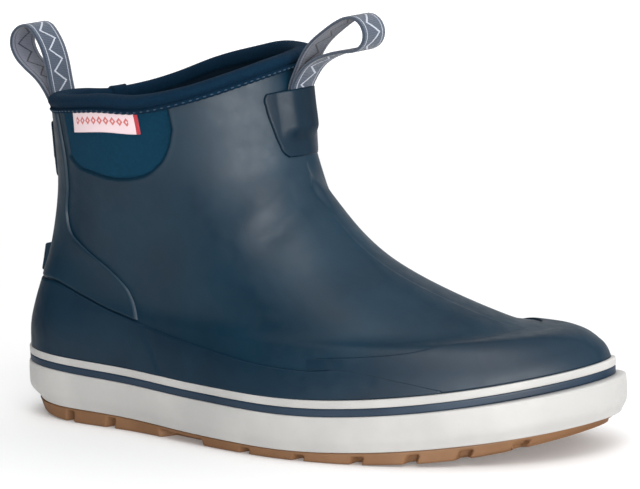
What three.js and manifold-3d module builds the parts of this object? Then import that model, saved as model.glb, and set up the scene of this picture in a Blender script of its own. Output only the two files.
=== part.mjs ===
// Ankle-high deck boot for the right foot: a rubber upper over a neoprene sock, on a foxed sole
// with a gum outsole, with a webbing pull loop at the front and at the back of the collar.
// Millimetres, +X towards the toe, +Y towards the inner (medial) side, +Z up.
// The origin is the middle of the boot's footprint, on the ground.

import * as THREE from 'three';
import { mergeVertices } from 'three/addons/utils/BufferGeometryUtils.js';
import Module from 'manifold-3d';

const wasm = await Module();
wasm.setup();

// ---------------------------------------------------------------- driving dimensions

const SOLE_LENGTH = 302;            // a men's US 9 outsole
const ORIGIN = [149.65, -2.35, 0];    // the footprint's middle, from the back of the heel

const FIT_GAP = 0.3;                // left between pieces that touch
const LAYER_GAP = 0.5;              // left between the curved layers of the upper

// Thickness of each layer of the upper
const OVERLAY = 1.0;                // heel panel, mudguard and toe bumper
const BACKSTAY = 0.7;
const RUBBER = 1.8;                 // rubber shell
const STIFFENER = 1.0;              // heel stiffener and toe puff
const SOCK = 2.4;                   // neoprene lining
const WEBBING = 1.4;                // pull loops
const SHIELD = 1.2;                 // rubber patches over the ends of the pull loops

// Where each layer lies, measured outwards from the upper's drawn surface
const OVERLAY_OUT = 0.3;
const BACKSTAY_OUT = 1.05;
const SHELL_OUT = OVERLAY_OUT - OVERLAY - LAYER_GAP;
const STIFFENER_OUT = SHELL_OUT - RUBBER - 0.6;

// Heights of the sole's layers above its gum line
const MIDSOLE_TOP = 9;
const FLANGE = [9.3, 11.1];         // the shell's edge, lasted under the insole board
const BOARD = [11.5, 13.3];
const SOCK_BASE = [13.7, 15.5];
const FOAM = [16, 20];
const COVER = [20.3, 21.3];
const SHANK = { back: 78, front: 186, half: 10, low: 6.8, high: 8.6, room: 0.4 };

// Foxing: a white pinstripe over a navy stripe, both standing on the white sidewall
const STRIPE_HEIGHT = 3.25;
const STRIPE_PITCH = 3.5;

const LOOP_WIDTH = 17.5;
const LOOP_Y = { front: 3, rear: -2 };

// ---------------------------------------------------------------- curves of the drawn surface

// A smooth curve through points: a cubic in each span, with averaged slopes at the points
function curve(xs, ys) {
  const last = xs.length - 1;
  const span = xs.slice(1).map((x, i) => x - xs[i]);
  const rise = span.map((h, i) => (ys[i + 1] - ys[i]) / h);
  const slope = ys.map((y, i) =>
    (i === 0 || i === last) ? 0 : (rise[i - 1] * span[i] + rise[i] * span[i - 1]) / (span[i - 1] + span[i]));
  slope[0] = 1.5 * rise[0] - 0.5 * slope[1];
  slope[last] = 1.5 * rise[last - 1] - 0.5 * slope[last - 1];
  return (x) => {
    let i = 0;
    while (i < last - 1 && x >= xs[i + 1]) i += 1;
    const h = span[i];
    const t = (x - xs[i]) / h;
    const t2 = t * t;
    const t3 = t2 * t;
    return (2 * t3 - 3 * t2 + 1) * ys[i] + (t3 - 2 * t2 + t) * h * slope[i]
      + (3 * t2 - 2 * t3) * ys[i + 1] + (t3 - t2) * h * slope[i + 1];
  };
}

// A station runs from -1 at the heel to 1 at the toe
const STATIONS = [-1, -0.8, -0.5, -0.15, 0.2, 0.45, 0.75, 1];
const LEVELS = [0, 1, 2, 3, 4, 5, 6, 7];    // 0 on the foxing, 7 on the collar's rim

// Half-widths of the sole, before they are rounded off at its two ends
const SOLE_LATERAL = curve(STATIONS, [72, 59, 48, 50, 58, 62, 69, 78]);
const SOLE_MEDIAL = curve(STATIONS, [72, 60, 44, 38, 51, 60, 68, 80]);

// Half-widths of the upper: one row for each level, one figure for each station
const UPPER_LATERAL = [
  [70, 57, 46, 48.5, 56.5, 60, 66, 74],
  [68, 56, 45, 46.5, 54, 58.5, 64, 71],
  [64, 53, 43, 43.5, 49.5, 54, 59, 64],
  [60, 49, 40.5, 41, 45, 48.5, 52, 55],
  [55, 44, 39, 39, 41.5, 44, 46, 48],
  [50, 44, 41, 41, 42.5, 43.5, 44, 45],
  [48, 46, 45, 45, 45.5, 46, 46, 46],
  [48, 48, 48, 48, 48, 48, 48, 48],
].map((row) => curve(STATIONS, row));
const UPPER_MEDIAL = [
  [70, 58, 42, 36.5, 49, 58, 65, 76],
  [68, 56, 41.5, 36.5, 47.5, 56, 63, 72],
  [64, 53, 40, 36, 44.5, 52, 58, 65],
  [60, 49, 39, 36.5, 42, 47, 51, 55],
  [55, 44, 38.5, 38, 40.5, 43.5, 46, 48],
  [50, 44, 41, 41, 42.5, 43.5, 44, 45],
  [48, 46, 45, 45, 45.5, 46, 46, 46],
  [48, 48, 48, 48, 48, 48, 48, 48],
].map((row) => curve(STATIONS, row));

// Profile at the back and at the front of each level, and the middle line between the sides
const BACK_X = curve(LEVELS, [2, 2.5, 5.5, 10.5, 18, 24.5, 24.5, 23.5]);
const FRONT_X = curve(LEVELS, [297, 293.5, 283.5, 257, 197.5, 164, 157.5, 155]);
const BACK_Z = [33, 44, 55, 67, 84, 110, 133];
const FRONT_Z = [38.5, 45, 51, 54, 79, 112, 142];
const SHAFT_MIDDLE = 1.5;
const FOLLOWS_SOLE = curve(LEVELS, [1, 1, 0.95, 0.85, 0.6, 0.3, 0.1, 0]);
const MIDDLE_Y = curve([0, 75, 150, 225, 270, 302], [1, 1, -2.8, 1, 8, 15]);
const FOLLOWS_FOXING = [1, 0.8, 0.5, 0.25, 0.1, 0, 0];

// Heights along the boot: foxing's top edge, its bottom edge, the gum's tread, the collar's rim
const FOXING_TOP = curve([-1, -0.6, -0.1, 0.35, 0.7, 1], [33, 30.5, 28, 27.5, 32, 38.5]);
const FOXING_BASE = curve([-1, -0.6, -0.1, 0.35, 0.7, 1], [7.5, 7, 5, 5, 9, 15]);
const TOE_SPRING = curve([0.3, 0.5, 0.7, 0.85, 1], [0, 0.6, 3, 7, 12.5]);
const HEEL_SPRING = curve([-1, -0.85, -0.7], [2.5, 0.7, 0]);
const RIM_STATIONS = [-1, -0.92, -0.8, -0.5, -0.17, 0.17, 0.5, 0.77, 1];
const RIM = curve(RIM_STATIONS, [152.8, 152.3, 152.6, 155.5, 159.5, 161.4, 164.9, 167.6, 170.5]);
// How much higher the collar's inner side stands, and its outer side lower
const RIM_TILT = curve(RIM_STATIONS, [-1.2, -0.8, 0.7, 2.9, 5.8, 8.3, 9.1, 8.1, 6.5]);

const stationAt = (x) => THREE.MathUtils.clamp(2 * x / SOLE_LENGTH - 1, -1, 1);
const foxingTop = (x) => FOXING_TOP(stationAt(x));
const gumLine = (x) => FOXING_BASE(stationAt(x));
function treadHeight(x) {
  const u = stationAt(x);
  if (u > 0.3) return TOE_SPRING(u);
  return u < -0.7 ? HEEL_SPRING(u) : 0;
}

const radians = (degrees) => degrees * Math.PI / 180;

// The upper's drawn surface at an angle round the boot (0 toe, 90 medial, 180 heel, 270 lateral)
function drawn(angle, level) {
  const u = Math.cos(radians(angle));
  const side = Math.sin(radians(angle));
  const rows = side < 0 ? UPPER_LATERAL : UPPER_MEDIAL;
  const width = curve(LEVELS, rows.map((row) => row(u)))(level);
  const x = BACK_X(level) + (FRONT_X(level) - BACK_X(level)) * (1 + u) / 2;
  const follow = FOLLOWS_SOLE(level);
  const y = follow * MIDDLE_Y(x) + (1 - follow) * SHAFT_MIDDLE + side * width;
  const t = (1 + u) / 2;
  const low = FOXING_TOP(u);
  const straight = BACK_Z[0] * (1 - t) + FRONT_Z[0] * t;
  const heights = BACK_Z.map((z, k) => z * (1 - t) + FRONT_Z[k] * t + (low - straight) * FOLLOWS_FOXING[k]);
  const z = curve(LEVELS, [...heights, RIM(u) + RIM_TILT(u) * side])(level);
  return new THREE.Vector3(x, y, z);
}

// A point of a layer that lies a given distance outside the drawn surface
function skin(angle, level, out) {
  const turn = 0.5;
  const step = 0.02;
  const along = drawn(angle + turn, level).sub(drawn(angle - turn, level));
  const up = drawn(angle, Math.min(level + step, 7)).sub(drawn(angle, Math.max(level - step, 0)));
  return drawn(angle, level).addScaledVector(along.cross(up).normalize(), out);
}

// The level at which the drawn surface reaches a height
function levelAt(angle, z) {
  let low = 0;
  let high = 7;
  for (let i = 0; i < 30; i += 1) {
    const middle = (low + high) / 2;
    if (drawn(angle, middle).z < z) low = middle;
    else high = middle;
  }
  return low;
}

// A point of the sole's outline, moved inwards, at a height that may follow the sole's curves
function plan(angle, inset, height) {
  const point = (a) => {
    const u = Math.cos(radians(a));
    const side = Math.sin(radians(a));
    const width = side < 0 ? SOLE_LATERAL(u) : SOLE_MEDIAL(u);
    const x = SOLE_LENGTH * (1 + u) / 2;
    return new THREE.Vector3(x, MIDDLE_Y(x) + side * width, 0);
  };
  const turn = 0.5;
  const along = point(angle + turn).sub(point(angle - turn)).normalize();
  const moved = point(angle).add(new THREE.Vector3(-along.y, along.x, 0).multiplyScalar(inset));
  return moved.setZ(height(moved.x));
}

// The foxing stands further off the upper at the toe, and tucks under at the heel
const toeward = (x) => THREE.MathUtils.smoothstep(x, 225, 300);
const heelward = (x) => 1 - THREE.MathUtils.smoothstep(x, 0, 45);
const atAngle = (angle) => SOLE_LENGTH * (1 + Math.cos(radians(angle))) / 2;
const wall = (angle, sides, toe, heel = 0) =>
  sides + toe * toeward(atAngle(angle)) + heel * heelward(atAngle(angle));

// ---------------------------------------------------------------- closed solids from grids

const range = (from, to, step) =>
  [...Array(Math.round((to - from) / step) + 1).keys()].map((i) => from + i * step);

// Angles shared by every layer, so that neighbouring layers have the same facets: closer together
// round the heel and the toe, and in pairs at the side panels' edges
const MEDIAL_ANGLES = [...range(6, 30, 6), 38, 46, 54, 63, 67, ...range(76, 121, 9), 129, 133, 141,
  ...range(150, 174, 6)];
const ANGLES = [0, ...MEDIAL_ANGLES, 180, ...MEDIAL_ANGLES.map((a) => 360 - a).reverse()];

// Points and triangles gathered into one closed geometry
class Faces {
  constructor() {
    this.points = [];
    this.triangles = [];
  }

  grid(columns) {
    return columns.map((column) => column.map((point) => this.points.push(point) - 1));
  }

  quad(a, b, c, d) {
    this.triangles.push([a, b, c], [a, c, d]);
  }

  // A sheet of quads, seen from outside with its columns running to the right and its rows up
  sheet(grid, ring, flip = false) {
    const last = ring ? grid.length : grid.length - 1;
    for (let i = 0; i < last; i += 1) {
      const here = grid[i];
      const next = grid[(i + 1) % grid.length];
      for (let j = 0; j < here.length - 1; j += 1) {
        if (flip) this.quad(here[j], here[j + 1], next[j + 1], next[j]);
        else this.quad(here[j], next[j], next[j + 1], here[j + 1]);
      }
    }
  }

  // A lid over a closed ring, laced across from its medial to its lateral side
  lid(ring, down) {
    const count = ring.length;
    for (let i = 0; i < count / 2; i += 1) {
      const corners = [ring[i], ring[i + 1], ring[(count - i - 1) % count], ring[(count - i) % count]];
      const fan = [[corners[0], corners[1], corners[2]], [corners[0], corners[2], corners[3]]];
      fan.filter((t) => new Set(t).size === 3)
        .forEach((t) => this.triangles.push(down ? [t[0], t[2], t[1]] : t));
    }
  }

  geometry() {
    const geometry = new THREE.BufferGeometry();
    geometry.setAttribute('position', new THREE.Float32BufferAttribute(
      this.points.flatMap((p) => [p.x - ORIGIN[0], p.y - ORIGIN[1], p.z - ORIGIN[2]]), 3));
    geometry.setIndex(this.triangles.flat());
    return geometry;
  }
}

// A wall between an outer and an inner grid of points, either a ring or with two ends
function between(outerColumns, innerColumns, ring = false) {
  const faces = new Faces();
  const outer = faces.grid(outerColumns);
  const inner = faces.grid(innerColumns);
  const top = outer[0].length - 1;
  faces.sheet(outer, ring);
  faces.sheet(inner, ring, true);
  faces.sheet(outer.map((column, i) => [inner[i][0], column[0]]), ring);
  faces.sheet(outer.map((column, i) => [column[top], inner[i][top]]), ring);
  if (!ring) {
    faces.sheet([inner[0], outer[0]], false);
    faces.sheet([outer.at(-1), inner.at(-1)], false);
  }
  return faces.geometry();
}

// A solid slab: rings of points from its underside to its top, with a lid on each
function slab(columns) {
  const faces = new Faces();
  const grid = faces.grid(columns);
  faces.sheet(grid, true);
  faces.lid(grid.map((column) => column[0]), true);
  faces.lid(grid.map((column) => column.at(-1)), false);
  return faces.geometry();
}

// A sock: a wall with a closed base
function sock(outerColumns, innerColumns) {
  const faces = new Faces();
  const outer = faces.grid(outerColumns);
  const inner = faces.grid(innerColumns);
  faces.sheet(outer, true);
  faces.sheet(inner, true, true);
  faces.sheet(outer.map((column, i) => [column.at(-1), inner[i].at(-1)]), true);
  faces.lid(outer.map((column) => column[0]), true);
  faces.lid(inner.map((column) => column[0]), false);
  return faces.geometry();
}

// A ring with a closed section
function band(sections) {
  const faces = new Faces();
  faces.sheet(faces.grid(sections).map((section) => [...section, section[0]]), true);
  return faces.geometry();
}

// ---------------------------------------------------------------- cutting

function toSolid(geometry) {
  const bare = geometry.clone();
  bare.deleteAttribute('normal');
  bare.deleteAttribute('uv');
  const merged = mergeVertices(bare, 1e-4);
  return new wasm.Manifold(new wasm.Mesh({
    numProp: 3,
    vertProperties: new Float32Array(merged.attributes.position.array),
    triVerts: new Uint32Array(merged.index.array),
  }));
}

function toGeometry(solid) {
  const mesh = solid.getMesh();
  const geometry = new THREE.BufferGeometry();
  geometry.setAttribute('position', new THREE.BufferAttribute(mesh.vertProperties, 3));
  geometry.setIndex(new THREE.BufferAttribute(mesh.triVerts, 1));
  return geometry;
}

const cut = (geometry, tools) =>
  toGeometry(tools.reduce((solid, tool) => solid.subtract(toSolid(tool)), toSolid(geometry)));

// ---------------------------------------------------------------- the boot and its colours

const boot = new THREE.Group();

const COLOURS = {
  navyRubber: [0x1c3648, 0.55],
  navyNeoprene: [0x1b4058, 0.9],
  darkNeoprene: [0x0c1f2e, 0.95],
  whiteRubber: [0xd4d4d2, 0.5],
  stripeNavy: [0x2a3748, 0.5],
  gum: [0x8f6c4f, 0.6],
  foam: [0x3a4046, 0.95],
  board: [0xb49a70, 0.9],
  steel: [0x8a8f94, 0.35, 1],
  webbing: [0x49586c, 0.85],
  labelCloth: [0xe3bfbf, 0.85],
  stiffener: [0x9a917f, 0.9],
};

function add(name, geometry, colour) {
  const [color, roughness, metalness = 0] = COLOURS[colour];
  const mesh = new THREE.Mesh(geometry, new THREE.MeshStandardMaterial({ color, roughness, metalness }));
  mesh.name = name;
  boot.add(mesh);
}

// ---------------------------------------------------------------- sole

const above = (offset) => (x) => gumLine(x) + offset;
const belowFoxing = (drop) => (x) => foxingTop(x) - drop;
const rings = (angles, rows) => angles.map((angle) => rows.map((row) => row(angle)));
const at = (sides, toe, heel, height) => (angle) => plan(angle, wall(angle, sides, toe, heel), height);

const GROOVE = { width: 2.6, depth: 1.8, length: 130, first: 24, pitch: 15.5, count: 17 };
const NOTCH = { width: 4.5, depth: 7, roof: 2.6 };
const NOTCHES = [45, 72, 160, 190, 218, 242, 263, 283];
const ARCH = { back: 104, front: 131, depth: 9 };
const TOOL = 20;                    // height of the cutting boxes

function box(width, depth, x, y, top, turn = 0) {
  const geometry = new THREE.BoxGeometry(width, depth, TOOL);
  geometry.rotateZ(turn);
  geometry.translate(x - ORIGIN[0], y - ORIGIN[1], top - TOOL / 2 - ORIGIN[2]);
  return geometry;
}

// The angle round the boot at which the outline stands over a given x
const angleAt = (x, side) => {
  const medial = Math.acos(2 * x / SOLE_LENGTH - 1) * 180 / Math.PI;
  return side > 0 ? medial : 360 - medial;
};

// The outsole's edge is notched between its lugs, and its tread has grooves straight across
function outsole() {
  const body = slab(rings(ANGLES, [
    at(3.0, 2.5, 3.5, treadHeight),
    at(2.0, 2.0, 3.0, (x) => treadHeight(x) + 1.2),
    at(1.6, 1.0, 3.0, above(-FIT_GAP)),
  ]));
  const archMiddle = (ARCH.back + ARCH.front) / 2;
  const grooves = range(0, GROOVE.count - 1, 1).map((i) => GROOVE.first + i * GROOVE.pitch)
    .filter((x) => Math.abs(x - archMiddle) > GROOVE.pitch)
    .map((x) => box(GROOVE.width, GROOVE.length, x, 0, treadHeight(x) + GROOVE.depth));
  const notches = NOTCHES.flatMap((x) => [1, -1].map((side) => {
    const angle = angleAt(x, side);
    const edge = plan(angle, 0, above(-NOTCH.roof));
    const inner = plan(angle, 1, above(0));
    const turn = Math.atan2(edge.y - inner.y, edge.x - inner.x);
    return box(NOTCH.depth * 2, NOTCH.width, edge.x, edge.y, edge.z, turn);
  }));
  const arches = [1, -1].map((side) => {
    const edge = plan(angleAt(archMiddle, side), 0, above(-NOTCH.roof));
    return box(ARCH.front - ARCH.back, ARCH.depth * 2, archMiddle, edge.y, edge.z);
  });
  return cut(body, [...grooves, ...notches, ...arches]);
}
add('outsole', outsole(), 'gum');

add('foxing_sidewall', between(
  rings(ANGLES, [
    at(1.3, 1.2, 3.2, above(0)),
    at(0.4, 0.4, 1.6, above(2.5)),
    at(0, 0, 0.7, above(MIDSOLE_TOP - 1)),
    at(0, 0, 0, belowFoxing(2 * STRIPE_PITCH)),
  ]),
  rings(ANGLES, [
    at(4.3, 3, 3, above(0)),
    at(4.3, 3, 1.5, above(2.5)),
    at(4.3, 3, 0, above(MIDSOLE_TOP - 1)),
    at(4.3, 3, 0, belowFoxing(2 * STRIPE_PITCH)),
  ]),
  true,
), 'whiteRubber');

function stripe(drop, outside, insideLow, insideHigh) {
  const heights = [belowFoxing(drop), belowFoxing(drop - STRIPE_HEIGHT)];
  return between(
    rings(ANGLES, heights.map((height) => at(outside, 2.5, 0, height))),
    rings(ANGLES, [at(insideLow, 3, 0, heights[0]), at(insideHigh, 3, 0, heights[1])]),
    true,
  );
}
add('foxing_stripe_navy', stripe(STRIPE_PITCH + STRIPE_HEIGHT, 1.0, 4.0, 3.1), 'stripeNavy');
add('foxing_stripe_white', stripe(STRIPE_HEIGHT, 0.9, 3.0, 2.2), 'whiteRubber');

// A strip along the middle of the boot that follows the gum line
function strip(back, front, half, low, high) {
  const lengthwise = range(0, 8, 1).map((i) => front + (back - front) * i / 8);
  const edge = [...lengthwise.map((x) => [x, half]), ...lengthwise.reverse().map((x) => [x, -half])];
  return slab(edge.map(([x, y]) => [low, high].map((h) => new THREE.Vector3(x, y, gumLine(x) + h))));
}

const shankRoom = strip(SHANK.back - SHANK.room, SHANK.front + SHANK.room, SHANK.half + SHANK.room,
  SHANK.low - SHANK.room, MIDSOLE_TOP + 3);
add('midsole', cut(slab(rings(ANGLES, [
  at(5.0, 3, 3, above(0)),
  at(5.0, 3, 1.5, above(2.5)),
  at(5.0, 3, 0.2, above(MIDSOLE_TOP - 1)),
  at(5.0, 3, 0, above(MIDSOLE_TOP)),
])), [shankRoom]), 'foam');
add('shank', strip(SHANK.back, SHANK.front, SHANK.half, SHANK.low, SHANK.high), 'steel');
add('insole_board', slab(rings(ANGLES, BOARD.map((height) => at(7.6, 3, 0, above(height))))), 'board');

// The removable footbed lies loose on the sock's base
const FOOTBED_INSET = 11.4;
const FOOTBED_BEVEL = 1.5;
add('footbed_foam', slab(rings(ANGLES, [
  at(FOOTBED_INSET + FOOTBED_BEVEL, 3, 0, above(FOAM[0])),
  at(FOOTBED_INSET, 3, 0, above(FOAM[0] + FOOTBED_BEVEL)),
  at(FOOTBED_INSET, 3, 0, above(FOAM[1])),
])), 'foam');
add('footbed_cover', slab(rings(ANGLES, COVER.map((height) =>
  at(FOOTBED_INSET, 3, 0, above(height))))), 'darkNeoprene');

// ---------------------------------------------------------------- shell, side panels and sock

// The neoprene side panel's edges, for the lateral side. Both sides of the boot are alike.
const PANEL = { back: 231, front: 293 };
const PANEL_LINE = curve([231, 236, 247, 267, 282, 288, 291, 293],
  [5.6, 5.42, 5.27, 5.18, 5.34, 5.54, 5.75, 6]);
const lateral = (angle) => {
  const turned = (angle + 360) % 360;
  return turned > 180 ? turned : 360 - turned;
};
const inPanel = (angle) => lateral(angle) >= PANEL.back && lateral(angle) <= PANEL.front;

const EDGE_DROP = 2;                // the layers stop this far below the binding's top
const BINDING_DROP = 7;
const belowRim = (angle, drop) => levelAt(angle, drawn(angle, 7).z - drop);

const ROWS = [0, 0.7, 1.4, 2.1, 2.8, 3.4, 4, 4.5, 5];
const levelsUpTo = (top) => [...ROWS, ...[1, 2, 3].map((i) => ROWS.at(-1) + (top - ROWS.at(-1)) * i / 3)];
const shellTop = (angle) => (inPanel(angle) ? PANEL_LINE(lateral(angle)) : belowRim(angle, EDGE_DROP));

// Insets of the upper's layers where they run down behind the foxing
const LASTED = { flange: 16, foot: 5.4, high: 4.0, toe: 3 };

function shellSide(out, depth, floor) {
  return ANGLES.map((angle) => [
    plan(angle, wall(angle, LASTED.flange, LASTED.toe), above(floor)),
    plan(angle, wall(angle, LASTED.foot + depth, LASTED.toe), above(floor)),
    plan(angle, wall(angle, LASTED.high + depth, LASTED.toe), belowFoxing(4)),
    ...levelsUpTo(shellTop(angle)).map((level) => skin(angle, level, out)),
  ]);
}
add('upper_shell', between(
  shellSide(SHELL_OUT, 0, FLANGE[0]),
  shellSide(SHELL_OUT - RUBBER, RUBBER, FLANGE[1]),
  true,
), 'navyRubber');

// The sock steps inwards where the heel stiffener and the toe puff stand outside it
const ZONES = [[105, 255], [0, 58], [302, 360]];
const ZONE_TOP = 3.9;
const STEP_IN = STIFFENER + 0.8;
const inZone = (angle) => ZONES.some(([from, to]) => angle >= from && angle <= to);

function sockSide(depth) {
  return ANGLES.map((angle) => {
    const step = inZone(angle) ? STEP_IN : 0;
    const out = (level) => SHELL_OUT - RUBBER - LAYER_GAP - depth - (level < ZONE_TOP ? step : 0);
    return [
      plan(angle, wall(angle, 7.7 + depth, LASTED.toe), above(depth ? SOCK_BASE[1] : SOCK_BASE[0])),
      plan(angle, wall(angle, 6.4 + step + depth, LASTED.toe), belowFoxing(4)),
      ...levelsUpTo(belowRim(angle, EDGE_DROP)).map((level) => skin(angle, level, out(level))),
    ];
  });
}
add('sock_lining', sock(sockSide(0), sockSide(SOCK)), 'darkNeoprene');

// A patch of the upper between two lines of levels. A distance is a number or a function.
const valueOf = (given, ...where) => (typeof given === 'function' ? given(...where) : given);

function patch(angles, lowLine, highLine, rows, inside, outside) {
  const side = (out) => angles.map((angle) => range(0, rows, 1).map((j) => {
    const low = valueOf(lowLine, angle);
    const level = low + (valueOf(highLine, angle) - low) * j / rows;
    return skin(angle, level, valueOf(out, angle, level));
  }));
  return between(side(outside), side(inside));
}

// The shared angles from one angle round to another, with the two ends
function anglesBetween(from, to, margin = 1.5) {
  const turns = [...ANGLES.map((a) => a - 360), ...ANGLES];
  return [from, ...turns.filter((a) => a > from + margin && a < to - margin), to];
}

const OVERLAY_FOOT = 0.06;          // the overlays start this many levels above the foxing
const SEAM = 0.05;                  // the gap between two overlays, in levels

const HEEL_STIFFENER_TOP = curve([110, 135, 160, 200, 225, 250], [1.2, 2.6, 3.3, 3.3, 2.6, 1.2]);
const TOE_PUFF_TOP = curve([-52, -30, -10, 10, 30, 52], [1.1, 1.9, 2.6, 2.6, 1.9, 1.1]);
add('heel_stiffener', patch(anglesBetween(112, 248), 0.1, HEEL_STIFFENER_TOP, 4,
  STIFFENER_OUT - STIFFENER, STIFFENER_OUT), 'stiffener');
add('toe_puff', patch(anglesBetween(-50, 50), 0.1, TOE_PUFF_TOP, 4,
  STIFFENER_OUT - STIFFENER, STIFFENER_OUT), 'stiffener');

const PANEL_OUT = -1.5;
const PANEL_THICKNESS = 1.5;
const PANEL_SPANS = { lateral: [231.8, 292.6], medial: [67.4, 128.2] };
const panelFoot = (angle) => PANEL_LINE(lateral(angle)) + SEAM;
const rimEdge = (angle) => belowRim(angle, EDGE_DROP);
for (const [side, span] of Object.entries(PANEL_SPANS)) {
  add(`side_panel_${side}`, patch(anglesBetween(...span), panelFoot, rimEdge, 3,
    PANEL_OUT - PANEL_THICKNESS, PANEL_OUT), 'navyNeoprene');
}

// ---------------------------------------------------------------- overlays on the shell

const OVERLAY_IN = OVERLAY_OUT - OVERLAY;

// The mudguard is high round the heel and low at the waist, and its front ends slope to the foxing
const MUDGUARD_LINE = curve(
  [180, 205, 216, 230, 240, 248, 257, 266, 275, 288, 297, 304, 312],
  [2.9, 2.95, 3, 2.68, 2.24, 1.97, 1.72, 1.5, 1.32, 1.2, 1.18, 0.8, 0.2],
);
const MUDGUARD_END = 312;
const mudguardTop = (angle) => MUDGUARD_LINE(lateral(angle));
add('mudguard', patch(anglesBetween(360 - MUDGUARD_END, MUDGUARD_END), OVERLAY_FOOT, mudguardTop, 4,
  OVERLAY_IN, OVERLAY_OUT), 'navyRubber');

// The toe bumper starts as a tongue along the mudguard's top edge
const BUMPER_LINE = curve([284, 292, 300, 312, 320, 333, 342, 360],
  [1.66, 1.7, 1.76, 1.92, 2.18, 2.5, 2.66, 2.78]);
const bumperTop = (angle) => BUMPER_LINE(lateral(angle));
const bumperFoot = (angle) =>
  (lateral(angle) > MUDGUARD_END ? OVERLAY_FOOT : mudguardTop(angle) + SEAM);
const BUMPER_ANGLES = [...range(-76, -16, 4), -11, -5.5, 0, 5.5, 11, ...range(16, 76, 4)];
add('toe_bumper', patch(BUMPER_ANGLES, bumperFoot, bumperTop, 4,
  OVERLAY_IN + 0.25, OVERLAY_OUT + 0.2), 'navyRubber');

// The backstay: a strip down the back that flares out over the heel to the mudguard
const BACKSTAY_HALF = curve([2, 2.6, 3, 3.3, 3.6, 3.95, 4.2, 4.5, 5, 5.5, 6, 6.8],
  [67, 67, 67, 66.5, 63.5, 56, 46, 42, 44.5, 46.5, 46, 44.5]);
function backstay() {
  const pointAt = (across, up) => {
    let level = 5;
    let angle = 180;
    for (let i = 0; i < 12; i += 1) {
      angle = 180 + across * BACKSTAY_HALF(level);
      const foot = mudguardTop(angle) + SEAM;
      level = foot + (belowRim(angle, BINDING_DROP + 0.5) - foot) * up;
    }
    return [angle, level];
  };
  const rows = [0, 0.1, 0.2, ...range(0.28, 0.52, 0.04), 0.57, 0.65, 0.76, 0.88, 1];
  const points = range(-9, 9, 1).map((i) => rows.map((up) => pointAt(i / 9, up)));
  const side = (out) => points.map((column) => column.map((where) => skin(...where, out)));
  return between(side(BACKSTAY_OUT), side(BACKSTAY_OUT - BACKSTAY));
}
add('backstay', backstay(), 'navyRubber');

// A flat-backed lug on the backstay, to kick the boot off with
const KICK = { low: 68, high: 80.5, half: 12.2, backLow: 9.9, backHigh: 12.6, least: 0.8 };
function kickTab() {
  const angles = range(180 - KICK.half, 180 + KICK.half, KICK.half / 3);
  const rows = range(0, 3, 1).map((i) => KICK.low + (KICK.high - KICK.low) * i / 3);
  const inner = angles.map((angle) =>
    rows.map((z) => skin(angle, levelAt(angle, z), BACKSTAY_OUT + FIT_GAP)));
  const outer = inner.map((column) => column.map((p) => {
    const t = (p.z - KICK.low) / (KICK.high - KICK.low);
    const back = KICK.backLow + (KICK.backHigh - KICK.backLow) * t;
    return new THREE.Vector3(Math.min(back, p.x - KICK.least), p.y, p.z);
  }));
  return between(outer, inner);
}
add('kick_tab', kickTab(), 'navyRubber');

// ---------------------------------------------------------------- collar binding and label

// The binding folds over the collar's edge: its section runs up outside and down inside
const BINDING_IN = SHELL_OUT - RUBBER - LAYER_GAP - SOCK - 0.4;
add('collar_binding', band(ANGLES.map((angle) => {
  const low = belowRim(angle, BINDING_DROP);
  const middle = belowRim(angle, 4);
  const shoulder = belowRim(angle, 1.2);
  const roof = belowRim(angle, EDGE_DROP - 0.4);
  return [
    [low, 0.5], [middle, 1], [shoulder, 0.3], [7, -1.8],
    [7, BINDING_IN + 1.4], [middle, BINDING_IN - 1], [low, BINDING_IN - 0.9],
    [low, BINDING_IN], [roof, BINDING_IN], [roof, SHELL_OUT + 0.4], [low, SHELL_OUT + 0.4],
  ].map(([level, out]) => skin(angle, level, out));
})), 'navyNeoprene');

// The label hangs from the binding over the lateral side panel
const LABEL = { from: 243, to: 279, height: 9.2, gap: 0.4 };
const labelTop = (angle) => belowRim(angle, BINDING_DROP + LABEL.gap);
const labelFoot = (angle) => belowRim(angle, BINDING_DROP + LABEL.gap + LABEL.height);
add('label', patch(range(LABEL.from, LABEL.to, 6), labelFoot, labelTop, 2,
  PANEL_OUT + LAYER_GAP, PANEL_OUT + LAYER_GAP + 0.6), 'labelCloth');

// ---------------------------------------------------------------- pull loops and their shields

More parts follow.
